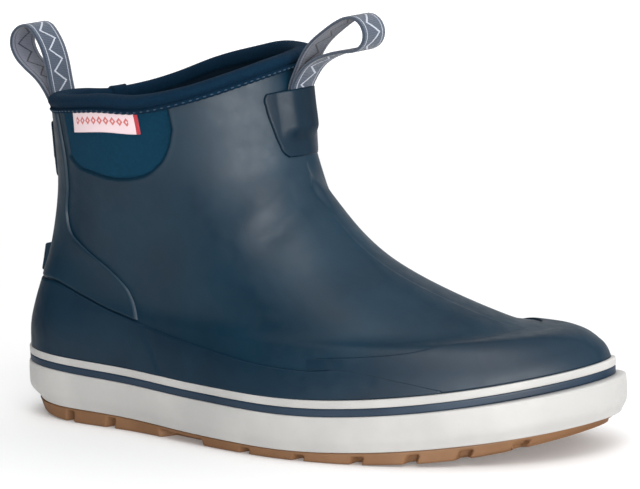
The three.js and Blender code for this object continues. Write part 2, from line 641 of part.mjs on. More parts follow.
// Each loop is one strip of webbing, seen here from the lateral side as a line of [x, z] points
// that leaves its base up the rear leg, turns over the top and comes back down the front leg.
// Its two ends lie one on the other, as the tail, between the upper and a rubber shield.
const PULLS = {
  front: {
    line: [[157.9, 155.9], [159.8, 161.2], [163.2, 169.1], [167.9, 174.6], [174.9, 179.6], [181.7, 183.6],
      [187.3, 185.6], [191.6, 185.2], [194.9, 182.5], [196.4, 178], [194.8, 173.6], [190.6, 171.2],
      [183.9, 170.8], [175.5, 169.2], [169.4, 167.2], [164.2, 164.2], [160.4, 160], [157.9, 155.9]],
    middle: 1.8,
    lies: SHELL_OUT + 0.7,
    tail: [5.75, 6.44],
    shield: curve([5.4, 5.46, 5.6, 5.85, 6.2, 6.36, 6.42], [14.5, 17.5, 20, 23, 25.2, 25.3, 24]),
    rows: [5.4, 5.46, 5.6, 5.85, 6.15, 6.37, 6.42],
  },
  rear: {
    line: [[20.9, 147], [19.2, 150.5], [16.4, 155], [12, 159.6], [5.4, 164.8], [0.4, 169.9], [-2, 176.2],
      [-0.9, 180.8], [2.4, 183.8], [6.6, 184.9], [9.8, 183.9], [12.8, 180.7], [16.2, 175.4], [18.5, 169.4],
      [19.9, 163], [20.6, 157.5], [20.9, 152], [20.9, 147]],
    middle: 184.3,
    lies: BACKSTAY_OUT,
    tail: [5.5, 6.6],
    shield: curve([5.13, 5.2, 5.35, 5.7, 6.1, 6.24, 6.3], [14.5, 17.5, 20, 22.5, 24, 24, 22.5]),
    rows: [5.13, 5.2, 5.35, 5.7, 6.05, 6.24, 6.3],
  },
};
const TAIL_HALF = 10.8;             // half the webbing's width, in degrees round the collar

// A closed ring of webbing, pressed together at its base where the two legs meet
function pullLoop(pull, y) {
  const path = new THREE.SplineCurve(pull.line.map(([x, z]) => new THREE.Vector2(x, z)));
  const count = 34;
  const joined = 3;
  const side = (distance) => range(0, count, 1).map((i) => {
    const tangent = path.getTangent(i / count);
    const left = new THREE.Vector2(-tangent.y, tangent.x);
    return path.getPoint(i / count).addScaledVector(left, distance);
  });
  const shape = new THREE.Shape(side(WEBBING / 2).reverse());
  shape.holes.push(new THREE.Path(side(-WEBBING / 2).slice(joined, count + 1 - joined)));
  const geometry = new THREE.ExtrudeGeometry(shape, { depth: LOOP_WIDTH, bevelEnabled: false });
  geometry.rotateX(Math.PI / 2);
  geometry.translate(-ORIGIN[0], y + LOOP_WIDTH / 2 - ORIGIN[1], -ORIGIN[2]);
  return geometry;
}

// The shield is pressed down on both sides of the tail and stands up over it
function shield(pull) {
  const rise = WEBBING + 0.3;
  const offsets = (half) => [-half, -TAIL_HALF - 2, -TAIL_HALF - 0.6, -TAIL_HALF / 2, 0,
    TAIL_HALF / 2, TAIL_HALF + 0.6, TAIL_HALF + 2, half];
  const side = (thickness) => range(0, 8, 1).map((i) => pull.rows.map((level) => {
    const offset = offsets(pull.shield(level))[i];
    const overTail = Math.abs(offset) < TAIL_HALF + 1;
    return skin(pull.middle + offset, level, pull.lies + LAYER_GAP + (overTail ? rise : 0) + thickness);
  }));
  return between(side(SHIELD), side(0));
}

for (const [name, pull] of Object.entries(PULLS)) {
  const tailAngles = range(-2, 2, 1).map((i) => pull.middle + i * TAIL_HALF / 2);
  add(`${name}_pull_loop`, pullLoop(pull, LOOP_Y[name]), 'webbing');
  add(`${name}_loop_tail`, patch(tailAngles, ...pull.tail, 4,
    pull.lies + LAYER_GAP, pull.lies + LAYER_GAP + WEBBING), 'webbing');
  add(`${name}_loop_shield`, shield(pull), 'navyRubber');
}

export default boot;
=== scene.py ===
"""An ankle-high deck boot for the right foot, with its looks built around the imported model.

The tables are in millimetres, measured from the back of the heel, and place() takes them into
the frame. +X runs towards the toe, +Y towards the inner (medial) side, +Z up.
"""

import math

import bpy
import numpy as np
from mathutils import Matrix, Vector

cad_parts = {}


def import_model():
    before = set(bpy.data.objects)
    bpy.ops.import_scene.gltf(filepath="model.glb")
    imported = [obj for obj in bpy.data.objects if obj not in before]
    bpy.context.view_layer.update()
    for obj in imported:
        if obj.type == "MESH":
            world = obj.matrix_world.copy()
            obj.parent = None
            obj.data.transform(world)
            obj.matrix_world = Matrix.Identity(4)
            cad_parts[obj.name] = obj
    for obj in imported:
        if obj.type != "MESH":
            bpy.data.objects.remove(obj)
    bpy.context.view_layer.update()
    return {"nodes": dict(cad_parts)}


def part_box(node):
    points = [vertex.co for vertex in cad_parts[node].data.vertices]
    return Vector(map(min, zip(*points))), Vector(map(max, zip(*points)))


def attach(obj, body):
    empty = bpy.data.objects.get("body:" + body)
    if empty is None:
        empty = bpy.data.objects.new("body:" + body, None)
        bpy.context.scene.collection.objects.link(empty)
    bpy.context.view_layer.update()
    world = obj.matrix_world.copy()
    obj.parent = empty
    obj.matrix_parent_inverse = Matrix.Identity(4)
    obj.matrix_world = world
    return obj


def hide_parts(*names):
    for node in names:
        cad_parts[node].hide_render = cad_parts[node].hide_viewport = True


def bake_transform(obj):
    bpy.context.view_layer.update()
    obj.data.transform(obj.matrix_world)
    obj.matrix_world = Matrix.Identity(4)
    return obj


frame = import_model()

MM = 0.001

# ---------------------------------------------------------------- curves of the boot's surface


def slopes(rows, span):
    """The slope at each row: the mean of its two sides, and at the ends what carries the bend on."""
    rise = np.diff(rows, axis=0) / span
    inner = (rise[:-1] * span[1:] + rise[1:] * span[:-1]) / (span[:-1] + span[1:])
    first = 1.5 * rise[:1] - 0.5 * inner[:1]
    last = 1.5 * rise[-1:] - 0.5 * inner[-1:]
    return np.concatenate([first, inner, last])


def curve(xs, ys):
    """A smooth curve through points: a cubic in each span."""
    xs, ys = np.array(xs, float), np.array(ys, float)
    span = np.diff(xs)
    slope = slopes(ys, span)

    def at(x):
        i = np.clip(np.searchsorted(xs, x, side="right") - 1, 0, len(span) - 1)
        t = (x - xs[i]) / span[i]
        return cubic(t, ys[i], ys[i + 1], slope[i] * span[i], slope[i + 1] * span[i])

    return at


def cubic(t, y0, y1, m0, m1):
    t2, t3 = t * t, t * t * t
    return ((2 * t3 - 3 * t2 + 1) * y0 + (t3 - 2 * t2 + t) * m0
            + (3 * t2 - 2 * t3) * y1 + (t3 - t2) * m1)


def through_levels(rows, level):
    """The same kind of curve through one figure for each level, for many points at once."""
    slope = slopes(rows, np.ones((len(rows) - 1,) + (1,) * (rows.ndim - 1)))
    i = np.clip(np.floor(level).astype(int), 0, len(rows) - 2)

    def pick(table, k):
        return np.take_along_axis(table, k[None], 0)[0]

    return cubic(level - i, pick(rows, i), pick(rows, i + 1), pick(slope, i), pick(slope, i + 1))


SOLE_LENGTH = 302
STATIONS = [-1, -0.8, -0.5, -0.15, 0.2, 0.45, 0.75, 1]      # -1 at the heel, 1 at the toe
TOP_LEVEL = 7.0                     # the collar's rim; level 0 is the top of the foxing
LEVELS = np.arange(TOP_LEVEL + 1)

SOLE_LATERAL = curve(STATIONS, [72, 59, 48, 50, 58, 62, 69, 78])
SOLE_MEDIAL = curve(STATIONS, [72, 60, 44, 38, 51, 60, 68, 80])

# Half-widths of the upper: one row for each level, one figure for each station
SHAFT_WIDTHS = (
    [50, 44, 41, 41, 42.5, 43.5, 44, 45],
    [48, 46, 45, 45, 45.5, 46, 46, 46],
    [48, 48, 48, 48, 48, 48, 48, 48],
)
UPPER_LATERAL = [curve(STATIONS, row) for row in (
    [70, 57, 46, 48.5, 56.5, 60, 66, 74],
    [68, 56, 45, 46.5, 54, 58.5, 64, 71],
    [64, 53, 43, 43.5, 49.5, 54, 59, 64],
    [60, 49, 40.5, 41, 45, 48.5, 52, 55],
    [55, 44, 39, 39, 41.5, 44, 46, 48],
    *SHAFT_WIDTHS,
)]
UPPER_MEDIAL = [curve(STATIONS, row) for row in (
    [70, 58, 42, 36.5, 49, 58, 65, 76],
    [68, 56, 41.5, 36.5, 47.5, 56, 63, 72],
    [64, 53, 40, 36, 44.5, 52, 58, 65],
    [60, 49, 39, 36.5, 42, 47, 51, 55],
    [55, 44, 38.5, 38, 40.5, 43.5, 46, 48],
    *SHAFT_WIDTHS,
)]

# Profile at the back and at the front of each level, and the middle line between the sides
BACK_X = curve(LEVELS, [2, 2.5, 5.5, 10.5, 18, 24.5, 24.5, 23.5])
FRONT_X = curve(LEVELS, [297, 293.5, 283.5, 257, 197.5, 164, 157.5, 155])
BACK_Z = [33, 44, 55, 67, 84, 110, 133]
FRONT_Z = [38.5, 45, 51, 54, 79, 112, 142]
SHAFT_MIDDLE = 1.5
FOLLOWS_SOLE = curve(LEVELS, [1, 1, 0.95, 0.85, 0.6, 0.3, 0.1, 0])
MIDDLE_Y = curve([0, 75, 150, 225, 270, 302], [1, 1, -2.8, 1, 8, 15])
FOLLOWS_FOXING = [1, 0.8, 0.5, 0.25, 0.1, 0, 0]

# Heights along the boot: foxing's top edge, its bottom edge, the gum's tread, the collar's rim
FOXING_TOP = curve([-1, -0.6, -0.1, 0.35, 0.7, 1], [33, 30.5, 28, 27.5, 32, 38.5])
FOXING_BASE = curve([-1, -0.6, -0.1, 0.35, 0.7, 1], [7.5, 7, 5, 5, 9, 15])
TOE_SPRING = curve([0.3, 0.5, 0.7, 0.85, 1], [0, 0.6, 3, 7, 12.5])
HEEL_SPRING = curve([-1, -0.85, -0.7], [2.5, 0.7, 0])
RIM_STATIONS = [-1, -0.92, -0.8, -0.5, -0.17, 0.17, 0.5, 0.77, 1]
RIM = curve(RIM_STATIONS, [152.8, 152.3, 152.6, 155.5, 159.5, 161.4, 164.9, 167.6, 170.5])
RIM_TILT = curve(RIM_STATIONS, [-1.2, -0.8, 0.7, 2.9, 5.8, 8.3, 9.1, 8.1, 6.5])


def station(x):
    return np.clip(2 * x / SOLE_LENGTH - 1, -1, 1)


def foxing_top(x):
    return FOXING_TOP(station(x))


def gum_line(x):
    return FOXING_BASE(station(x))


def tread_height(x):
    u = station(x)
    return np.where(u > 0.3, TOE_SPRING(u), np.where(u < -0.7, HEEL_SPRING(u), 0))


def smoothstep(x, low, high):
    t = np.clip((x - low) / (high - low), 0, 1)
    return t * t * (3 - 2 * t)


def between(x, start, end):
    """1 between two places and 0 beyond them; each place is the two ends of a soft step."""
    return smoothstep(x, *start) * (1 - smoothstep(x, *end))


def drawn(angle, level):
    """The upper's drawn surface at an angle round the boot (0 toe, 90 medial, 180 heel)."""
    angle, level = np.broadcast_arrays(np.asarray(angle, float), np.asarray(level, float))
    u, side = np.cos(np.radians(angle)), np.sin(np.radians(angle))
    lateral_rows = np.stack([row(u) for row in UPPER_LATERAL])
    medial_rows = np.stack([row(u) for row in UPPER_MEDIAL])
    width = through_levels(np.where(side < 0, lateral_rows, medial_rows), level)
    t = (1 + u) / 2
    x = BACK_X(level) + (FRONT_X(level) - BACK_X(level)) * t
    follow = FOLLOWS_SOLE(level)
    y = follow * MIDDLE_Y(x) + (1 - follow) * SHAFT_MIDDLE + side * width
    above = FOXING_TOP(u) - (BACK_Z[0] * (1 - t) + FRONT_Z[0] * t)
    heights = [back * (1 - t) + front * t + above * share
               for back, front, share in zip(BACK_Z, FRONT_Z, FOLLOWS_FOXING)]
    z = through_levels(np.stack([*heights, RIM(u) + RIM_TILT(u) * side]), level)
    return np.stack([x, y, z], -1)


def unit(vectors):
    return vectors / np.linalg.norm(vectors, axis=-1, keepdims=True)


def skin(angle, level, out):
    """A point of a layer that lies a given distance outside the drawn surface."""
    level = np.asarray(level, float)
    along = drawn(angle + 0.5, level) - drawn(angle - 0.5, level)
    up = (drawn(angle, np.minimum(level + 0.02, TOP_LEVEL))
          - drawn(angle, np.maximum(level - 0.02, 0)))
    return drawn(angle, level) + unit(np.cross(along, up)) * np.asarray(out)[..., None]


def level_at(angle, z):
    """The level at which the drawn surface reaches a height."""
    angle, z = np.broadcast_arrays(np.asarray(angle, float), np.asarray(z, float))
    low, high = np.zeros(z.shape), np.full(z.shape, float(TOP_LEVEL))
    for _ in range(24):
        middle = (low + high) / 2
        under = drawn(angle, middle)[..., 2] < z
        low, high = np.where(under, middle, low), np.where(under, high, middle)
    return low


def rim_height(angle):
    return drawn(angle, TOP_LEVEL)[..., 2]


def below_rim(angle, drop):
    return level_at(angle, rim_height(angle) - drop)


def along_sole(angle):
    """How far from the heel the sole's outline is at an angle."""
    return SOLE_LENGTH * (1 + np.cos(np.radians(angle))) / 2


def plan(angle, inset, height):
    """A point of the sole's outline, moved inwards. height is a function of x, or the heights."""
    def point(a):
        u, side = np.cos(np.radians(a)), np.sin(np.radians(a))
        x = along_sole(a)
        y = MIDDLE_Y(x) + side * np.where(side < 0, SOLE_LATERAL(u), SOLE_MEDIAL(u))
        return np.stack([x, y], -1)

    along = unit(point(angle + 0.5) - point(angle - 0.5))
    normal = np.stack([-along[..., 1], along[..., 0]], -1)
    flat = point(angle) + normal * np.asarray(inset)[..., None]
    z = height(flat[..., 0]) if callable(height) else height
    return np.concatenate([flat, z[..., None]], -1)


def wall(angle, sides, toe, heel=0):
    """An inset that grows towards the toe and towards the heel."""
    x = along_sole(angle)
    return sides + toe * smoothstep(x, 225, 300) + heel * (1 - smoothstep(x, 0, 45))


def middle_line(angle, share, height):
    """The sole's middle line, which a tread or a lid is filled in to, over a share of its length."""
    x = SOLE_LENGTH * (0.5 + share * np.cos(np.radians(angle)))
    return np.stack([x, MIDDLE_Y(x), height(x)], -1)


def heel_corner():
    """Where the back of the heel is in the frame, from the foxing's own box."""
    low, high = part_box("foxing_sidewall")
    outline = plan(np.arange(0.0, 360.0, 2.0), 0.0, gum_line)
    middle = (outline[:, :2].min(0) + outline[:, :2].max(0)) / 2
    return np.array([(low.x + high.x) / 2 - middle[0] * MM, (low.y + high.y) / 2 - middle[1] * MM, 0])


HEEL = heel_corner()


def place(points):
    return np.asarray(points) * MM + HEEL


# ---------------------------------------------------------------- meshes


def mesh_object(name, points, faces, material, uv=None, slots=None):
    """An object from points in millimetres. uv gives a pair of figures for each point."""
    mesh = bpy.data.meshes.new(name)
    mesh.from_pydata(place(points).tolist(), [], [list(map(int, f)) for f in faces])
    for one in (material if isinstance(material, (list, tuple)) else [material]):
        mesh.materials.append(one)
    mesh.polygons.foreach_set("use_smooth", [True] * len(mesh.polygons))
    if slots is not None:
        mesh.polygons.foreach_set("material_index", np.asarray(slots, int).tolist())
    if uv is not None:
        layer = mesh.uv_layers.new(name="cloth")
        corners = np.empty(len(mesh.loops), int)
        mesh.loops.foreach_get("vertex_index", corners)
        layer.data.foreach_set("uv", np.asarray(uv, float)[corners].ravel().tolist())
    mesh.update()
    obj = bpy.data.objects.new(name, mesh)
    bpy.context.scene.collection.objects.link(obj)
    return obj


def sheet_faces(columns, rows, ring, offset=0, flip=False):
    """Quads of a grid whose columns run to the right and rows up, seen from outside."""
    i, j = np.meshgrid(np.arange(columns if ring else columns - 1), np.arange(rows - 1), indexing="ij")
    here, there = i * rows + j, (i + 1) % columns * rows + j
    quads = np.stack([here, there, there + 1, here + 1], -1).reshape(-1, 4) + offset
    return quads[:, ::-1] if flip else quads


def solid(name, outer, inner, material, ring=False, cloth=None, bag=False, slots=None):
    """A closed wall between an outer and an inner grid of points.

    cloth gives both grids' figures along and across the cloth. A bag is a ring closed at its foot.
    """
    columns, rows = outer.shape[:2]
    count = columns * rows
    faces = [sheet_faces(columns, rows, ring), sheet_faces(columns, rows, ring, count, True)]
    index = np.arange(count).reshape(columns, rows)
    for edge, flip in ((index[:, 0], True), (index[:, -1], False))[bag:]:
        a, b = edge, np.roll(edge, -1)
        if not ring:
            a, b = a[:-1], b[:-1]
        quads = np.stack([a, b, b + count, a + count], -1)
        faces.append(quads[:, ::-1] if flip else quads)
    if not ring:
        for edge, flip in ((index[0], False), (index[-1], True)):
            quads = np.stack([edge[:-1], edge[1:], edge[1:] + count, edge[:-1] + count], -1)
            faces.append(quads[:, ::-1] if flip else quads)
    faces = [*np.concatenate(faces)]
    if bag:
        faces += laced(columns, rows, 0, True)
        faces += [[corner + count for corner in face] for face in laced(columns, rows, 0, False)]
    points = np.concatenate([outer.reshape(-1, 3), inner.reshape(-1, 3)])
    uv = None if cloth is None else np.tile(cloth.reshape(-1, 2), (2, 1))
    return mesh_object(name, points, faces, material, uv, slots)


def tube_ring(name, sections, material, uv):
    """A ring with a closed section: one row of points for each place round the ring."""
    columns, rows = sections.shape[:2]
    i, j = np.meshgrid(np.arange(columns), np.arange(rows), indexing="ij")
    a, b = i * rows + j, (i + 1) % columns * rows + j
    c, d = (i + 1) % columns * rows + (j + 1) % rows, i * rows + (j + 1) % rows
    faces = np.stack([a, b, c, d], -1).reshape(-1, 4)
    return mesh_object(name, sections.reshape(-1, 3), faces, material, uv)


def laced(columns, rows, row, flip):
    """A lid over one row of a ring, laced across from its medial to its lateral side."""
    faces = []
    for i in range(columns // 2):
        corners = [i, i + 1, columns - i - 1, (columns - i) % columns]
        corners = list(dict.fromkeys(c % columns for c in corners))
        if len(corners) >= 3:
            face = [c * rows + row for c in corners]
            faces.append(face[::-1] if flip else face)
    return faces


def capped_ring(name, grid, material, uv=None):
    """A closed piece from rows of points round the boot, with a lid over the first and last row."""
    columns, rows = grid.shape[:2]
    faces = [*sheet_faces(columns, rows, True), *laced(columns, rows, 0, True),
             *laced(columns, rows, rows - 1, False)]
    return mesh_object(name, grid.reshape(-1, 3), faces, material, uv)


def arc_lengths(points, axis):
    """Distances along one axis of a grid of points."""
    steps = np.linalg.norm(np.diff(points, axis=axis), axis=-1)
    first = np.zeros_like(np.take(steps, [0], axis))
    return np.concatenate([first, np.cumsum(steps, axis)], axis)


def cloth_over(points):
    """The figures along and across a cloth that lies over a grid."""
    return np.stack([arc_lengths(points, 0), arc_lengths(points, 1)], -1)


def to_ends(points, axis):
    """Distances to the first and to the last end along one axis of a grid."""
    along = arc_lengths(points, axis)
    last = np.take(along, [-1], axis) - along
    return along, last


def from_edges(points):
    """The distance from each point of a grid to the nearest of its four edges."""
    return np.minimum(np.minimum(*to_ends(points, 0)), np.minimum(*to_ends(points, 1)))


def rounded(distance, radius):
    """The height of a quarter-round edge, from 0 at the edge to 1 at its radius and beyond."""
    t = np.clip(distance / radius, 0, 1)
    return np.sqrt(1 - (1 - t) ** 2)


def ends_spacing(count, ease=0.35):
    """Figures from 0 to 1 that lie closer together near both ends."""
    t = np.linspace(0, 1, count)
    return t - ease * np.sin(2 * np.pi * t) / (2 * np.pi) * 2


def ripple(x, y, seed=0.0):
    """A slow, fixed unevenness between -1 and 1, as hand-laid rubber and cloth have."""
    waves = ((0.071, 0.053, 0.4), (0.043, -0.097, 1.9), (0.127, 0.031, 3.1), (-0.029, 0.149, 5.2))
    total = sum(np.sin(a * x + b * y + c + seed) for a, b, c in waves)
    return total / len(waves)


def ride(obj, body, slot, *nodes):
    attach(obj, body)
    if nodes:
        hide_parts(*nodes)
    return obj


# ---------------------------------------------------------------- materials


class Nodes:
    """A material's node tree, built from small sums."""

    def __init__(self, name):
        self.material = bpy.data.materials.new(name)
        self.material.use_nodes = True
        self.tree = self.material.node_tree
        self.shader = self.tree.nodes["Principled BSDF"]

    def link(self, value, socket):
        if isinstance(value, bpy.types.NodeSocket):
            self.tree.links.new(value, socket)
        else:
            socket.default_value = value

    def add(self, kind, inputs=(), output=0, **settings):
        node = self.tree.nodes.new(kind)
        for key, value in settings.items():
            setattr(node, key, value)
        for key, value in dict(inputs).items():
            self.link(value, node.inputs[key])
        return node.outputs[output]

    def math(self, operation, a, b=0.0, c=0.0):
        return self.add("ShaderNodeMath", {0: a, 1: b, 2: c}, operation=operation)

    def wave(self, value, pitch):
        return self.math("SINE", self.math("MULTIPLY", value, 2 * math.pi / pitch))

    def where(self):
        """The place on the object in metres, which rides with the object."""
        return self.add("ShaderNodeTexCoord", output="Object")

    def cloth(self):
        """The two figures of the cloth UV: along and across, in millimetres."""
        uv = self.add("ShaderNodeUVMap", uv_map="cloth")
        split = self.tree.nodes.new("ShaderNodeSeparateXYZ")
        self.tree.links.new(uv, split.inputs[0])
        return split.outputs[0], split.outputs[1]

    def noise(self, scale, detail=3.0, roughness=0.5, place=None):
        return self.add("ShaderNodeTexNoise", {
            "Vector": place or self.where(), "Scale": scale, "Detail": detail, "Roughness": roughness})

    def ramp(self, value, low, high, to_low=0.0, to_high=1.0):
        return self.add("ShaderNodeMapRange", {0: value, 1: low, 2: high, 3: to_low, 4: to_high})

    def mix(self, share, a, b):
        node = self.tree.nodes.new("ShaderNodeMix")
        node.data_type = "RGBA"
        self.link(share, node.inputs[0])
        self.link(a, node.inputs[6])
        self.link(b, node.inputs[7])
        return node.outputs[2]

    def bump(self, height, distance, strength=1.0, under=None):
        inputs = {"Height": height, "Distance": distance, "Strength": strength}
        if under is not None:
            inputs["Normal"] = under
        return self.add("ShaderNodeBump", inputs)

    def finish(self, **sockets):
        for name, value in sockets.items():
            self.link(value, self.shader.inputs[name.replace("_", " ")])
        return self.material


def srgb(red, green, blue):
    """A colour given as it looks on a screen, from 0 to 255."""
    def linear(c):
        c = c / 255
        return c / 12.92 if c <= 0.04045 else ((c + 0.055) / 1.055) ** 2.4
    return (linear(red), linear(green), linear(blue), 1.0)


DULL_AT_EDGE = 0.16                 # a bloomed rubber's gloss fades where it is seen edge on


def moulded_rubber(name, colour, worn, roughness, grain=0.00004, shine=0.5):
    """Matt moulded rubber: a fine grain, faint cloudiness, and paler where it is rubbed."""
    n = Nodes(name)
    cloud = n.noise(28, 4)
    fine = n.noise(2600, 2)
    blotch = n.noise(170, 5, 0.62)
    base = n.mix(n.ramp(cloud, 0.35, 0.7), colour, worn)
    base = n.mix(n.ramp(blotch, 0.58, 0.72, 0.0, 0.35), base, worn)
    pitted = n.bump(fine, grain, 0.5)
    wavy = n.bump(n.noise(95, 3), 0.00035, 0.35, pitted)
    facing = n.add("ShaderNodeLayerWeight", {"Blend": 0.5}, "Facing")
    gloss = n.ramp(facing, 0.05, 0.5, shine, shine * DULL_AT_EDGE)
    return n.finish(Base_Color=base, Normal=wavy, Specular_IOR_Level=gloss,
                    Roughness=n.ramp(blotch, 0.3, 0.75, roughness - 0.05, roughness + 0.08))


def knit_neoprene(name, colour, worn, pitch=0.62, sheen=0.35):
    """Neoprene faced with a fine jersey: columns of small loops, and a soft sheen."""
    n = Nodes(name)
    along, across = n.cloth()
    columns = n.wave(along, pitch)
    shifted = n.math("ADD", n.math("MULTIPLY", across, 2 * math.pi / (pitch * 0.8)),
                     n.math("MULTIPLY", n.math("ABSOLUTE", columns), 1.5))
    loops = n.math("MULTIPLY", n.math("SINE", shifted), 0.5)
    knit = n.math("ADD", n.math("ABSOLUTE", columns), loops)
    fuzz = n.noise(1500, 3)
    heather = n.noise(600, 4, 0.7)
    base = n.mix(n.ramp(n.math("ADD", knit, fuzz), 0.3, 1.6), colour, worn)
    base = n.mix(n.ramp(heather, 0.48, 0.7, 0, 0.8), base, worn)
    raised = n.bump(knit, 0.00014, 0.9)
    return n.finish(Base_Color=base, Roughness=0.88, Sheen_Weight=sheen, Sheen_Roughness=0.4,
                    Sheen_Tint=worn, Specular_IOR_Level=0.1,
                    Normal=n.bump(n.noise(230, 3), 0.0004, 0.4, raised))


def foxing_rubber(name, colour):
    """Calendered foxing tape: smooth and off-white, with faint clouds and scuffs."""
    n = Nodes(name)
    scuff = n.noise(520, 5, 0.7)
    cloud = n.noise(36, 3)
    base = n.mix(n.ramp(cloud, 0.4, 0.7, 0, 0.5), colour, srgb(196, 194, 190))
    base = n.mix(n.ramp(scuff, 0.64, 0.74, 0, 0.35), base, srgb(160, 157, 151))
    grain = n.bump(n.noise(1900, 2), 0.00003, 0.5)
    return n.finish(Base_Color=base, Roughness=n.ramp(scuff, 0.4, 0.7, 0.42, 0.6),
                    Specular_IOR_Level=0.4, Normal=n.bump(n.noise(60, 2), 0.0004, 0.3, grain))


def webbing_face(name, ground, motif, thread, ground_share):
    """Jacquard webbing: fine ribs across it, a twill ground, and a zigzag between two lines."""
    n = Nodes(name)
    along, across = n.cloth()
    rib, warp = n.wave(along, 0.9), n.wave(across, 0.55)
    weave = n.math("ADD", n.math("MULTIPLY", rib, 0.6), n.math("MULTIPLY", warp, 0.4))
    saw = n.math("PINGPONG", along, ZIGZAG["half_pitch"])
    middle = n.math("SUBTRACT", saw, ZIGZAG["half_pitch"] / 2)
    off_line = n.math("ABSOLUTE", n.math("SUBTRACT", across, n.math("MULTIPLY", middle, ZIGZAG["slope"])))
    zigzag = n.math("LESS_THAN", off_line, ZIGZAG["half_line"])
    side = n.math("ABSOLUTE", across)
    rail = n.math("LESS_THAN", n.math("ABSOLUTE", n.math("SUBTRACT", side, ZIGZAG["rail"])),
                  ZIGZAG["half_rail"])
    figure = n.math("MAXIMUM", zigzag, n.math("MULTIPLY", rail, 0.8))
    selvedge = n.math("GREATER_THAN", side, LOOP_WIDTH / 2 - SELVEDGE)
    flecks = n.noise(1700, 3)
    cloth = n.mix(n.ramp(weave, -0.7, 0.8, 0, ground_share), ground, thread)
    cloth = n.mix(n.ramp(flecks, 0.5, 0.7, 0, 0.4), cloth, thread)
    cloth = n.mix(figure, cloth, motif)
    cloth = n.mix(selvedge, cloth, srgb(44, 54, 68))
    raised = n.math("ADD", weave, n.math("MULTIPLY", figure, 0.8))
    return n.finish(Base_Color=cloth, Roughness=0.82, Sheen_Weight=0.25, Specular_IOR_Level=0.25,
                    Normal=n.bump(raised, 0.00011, 0.9))


def woven_label(name):
    """A satin label: fine weft, a border, and a plain row of small lozenges where a name would be."""
    n = Nodes(name)
    along, up = n.cloth()
    weft, warp = n.wave(up, 0.35), n.wave(along, 0.5)
    saw = n.math("PINGPONG", along, LOZENGE["half_pitch"])
    height = n.math("ABSOLUTE", n.math("SUBTRACT", up, LOZENGE["middle"]))
    size = n.math("ADD", n.math("MULTIPLY", saw, LOZENGE["slope"]), height)
    lozenge = n.math("LESS_THAN", size, LOZENGE["size"])
    hollow = n.math("GREATER_THAN", size, LOZENGE["size"] * 0.36)
    inside = n.math("MULTIPLY", n.math("GREATER_THAN", along, LOZENGE["from"]),
                    n.math("LESS_THAN", along, LOZENGE["to"]))
    figure = n.math("MULTIPLY", n.math("MULTIPLY", lozenge, hollow), inside)
    base = n.mix(n.ramp(weft, -1, 1, 0, 0.35), srgb(236, 214, 218), srgb(224, 190, 196))
    base = n.mix(n.math("MULTIPLY", figure, 0.9), base, srgb(200, 84, 78))
    border = n.math("GREATER_THAN", along, LABEL["red_from"])
    base = n.mix(border, base, srgb(176, 38, 52))
    weave = n.math("ADD", weft, n.math("MULTIPLY", warp, 0.5))
    return n.finish(Base_Color=base, Roughness=0.7, Sheen_Weight=0.2, Normal=n.bump(weave, 0.00006, 0.7))


def flecked(name, dark, pale, noise, roughness, depth, bump, sheen=0.0):
    """Thread, board or stiffener sheet: flecks of two colours, raised a little."""
    n = Nodes(name)
    flecks = n.noise(*noise)
    return n.finish(Base_Color=n.mix(flecks, dark, pale), Roughness=roughness, Sheen_Weight=sheen,
                    Normal=n.bump(flecks, depth, bump))


def cell_foam(name, colour, worn):
    """Closed-cell foam, with its cells as small pits."""
    n = Nodes(name)
    cells = n.add("ShaderNodeTexVoronoi", {"Vector": n.where(), "Scale": 1400.0})
    return n.finish(Base_Color=n.mix(n.ramp(cells, 0, 0.7), worn, colour), Roughness=0.92,
                    Normal=n.bump(cells, 0.0001, 0.6))


def spring_steel(name):
    n = Nodes(name)
    stretched = n.add("ShaderNodeMapping", {"Vector": n.where(), "Scale": (60.0, 2400.0, 2400.0)})
    grain = n.noise(1.0, 3, 0.6, stretched)
    return n.finish(Base_Color=srgb(172, 174, 176), Metallic=1.0,
                    Roughness=n.ramp(grain, 0.3, 0.7, 0.28, 0.45), Normal=n.bump(grain, 0.00002, 0.4))


LOOP_WIDTH, SELVEDGE = 17.5, 0.75
ZIGZAG = {"half_pitch": 5.2, "slope": 1.35, "half_line": 0.72, "rail": 6.1, "half_rail": 0.32}
LABEL = {"from": 243.0, "to": 279.0, "height": 9.2, "length": 36.0, "red_from": 34.4,
         "sewn_in": 1.0, "slant": 1.6, "out": 0.95, "lift": 0.5, "wave": 0.18, "thickness": 0.55}
LOZENGE = {"half_pitch": 1.7, "slope": 1.25, "size": 1.95, "middle": 5.3, "from": 2.55, "to": 31.45}

NAVY = moulded_rubber("navy_rubber", srgb(3, 32, 48), srgb(8, 41, 58), 0.46)
NAVY_OVERLAY = moulded_rubber("navy_overlay_rubber", srgb(4, 30, 46), srgb(9, 39, 56), 0.46)
NAVY_SHIELD = moulded_rubber("navy_shield_rubber", srgb(3, 25, 39), srgb(7, 34, 50), 0.36, shine=0.25)
PANEL_KNIT = knit_neoprene("navy_neoprene", srgb(4, 38, 58), srgb(14, 62, 86), sheen=0.02)
BINDING_KNIT = knit_neoprene("binding_neoprene", srgb(2, 21, 38), srgb(9, 42, 64), sheen=0.0)
SOCK_KNIT = knit_neoprene("sock_neoprene", srgb(3, 14, 25), srgb(8, 26, 40), 0.8, 0.02)
WHITE_TAPE = foxing_rubber("white_rubber", srgb(172, 171, 169))
NAVY_TAPE = moulded_rubber("stripe_rubber", srgb(22, 40, 57), srgb(34, 52, 70), 0.45)
GUM = moulded_rubber("gum_rubber", srgb(118, 84, 57), srgb(136, 101, 72), 0.6, 0.00008)
WEBBING_OUTSIDE = webbing_face("webbing_outside", srgb(46, 58, 75), srgb(172, 178, 190),
                               srgb(74, 86, 104), 0.5)
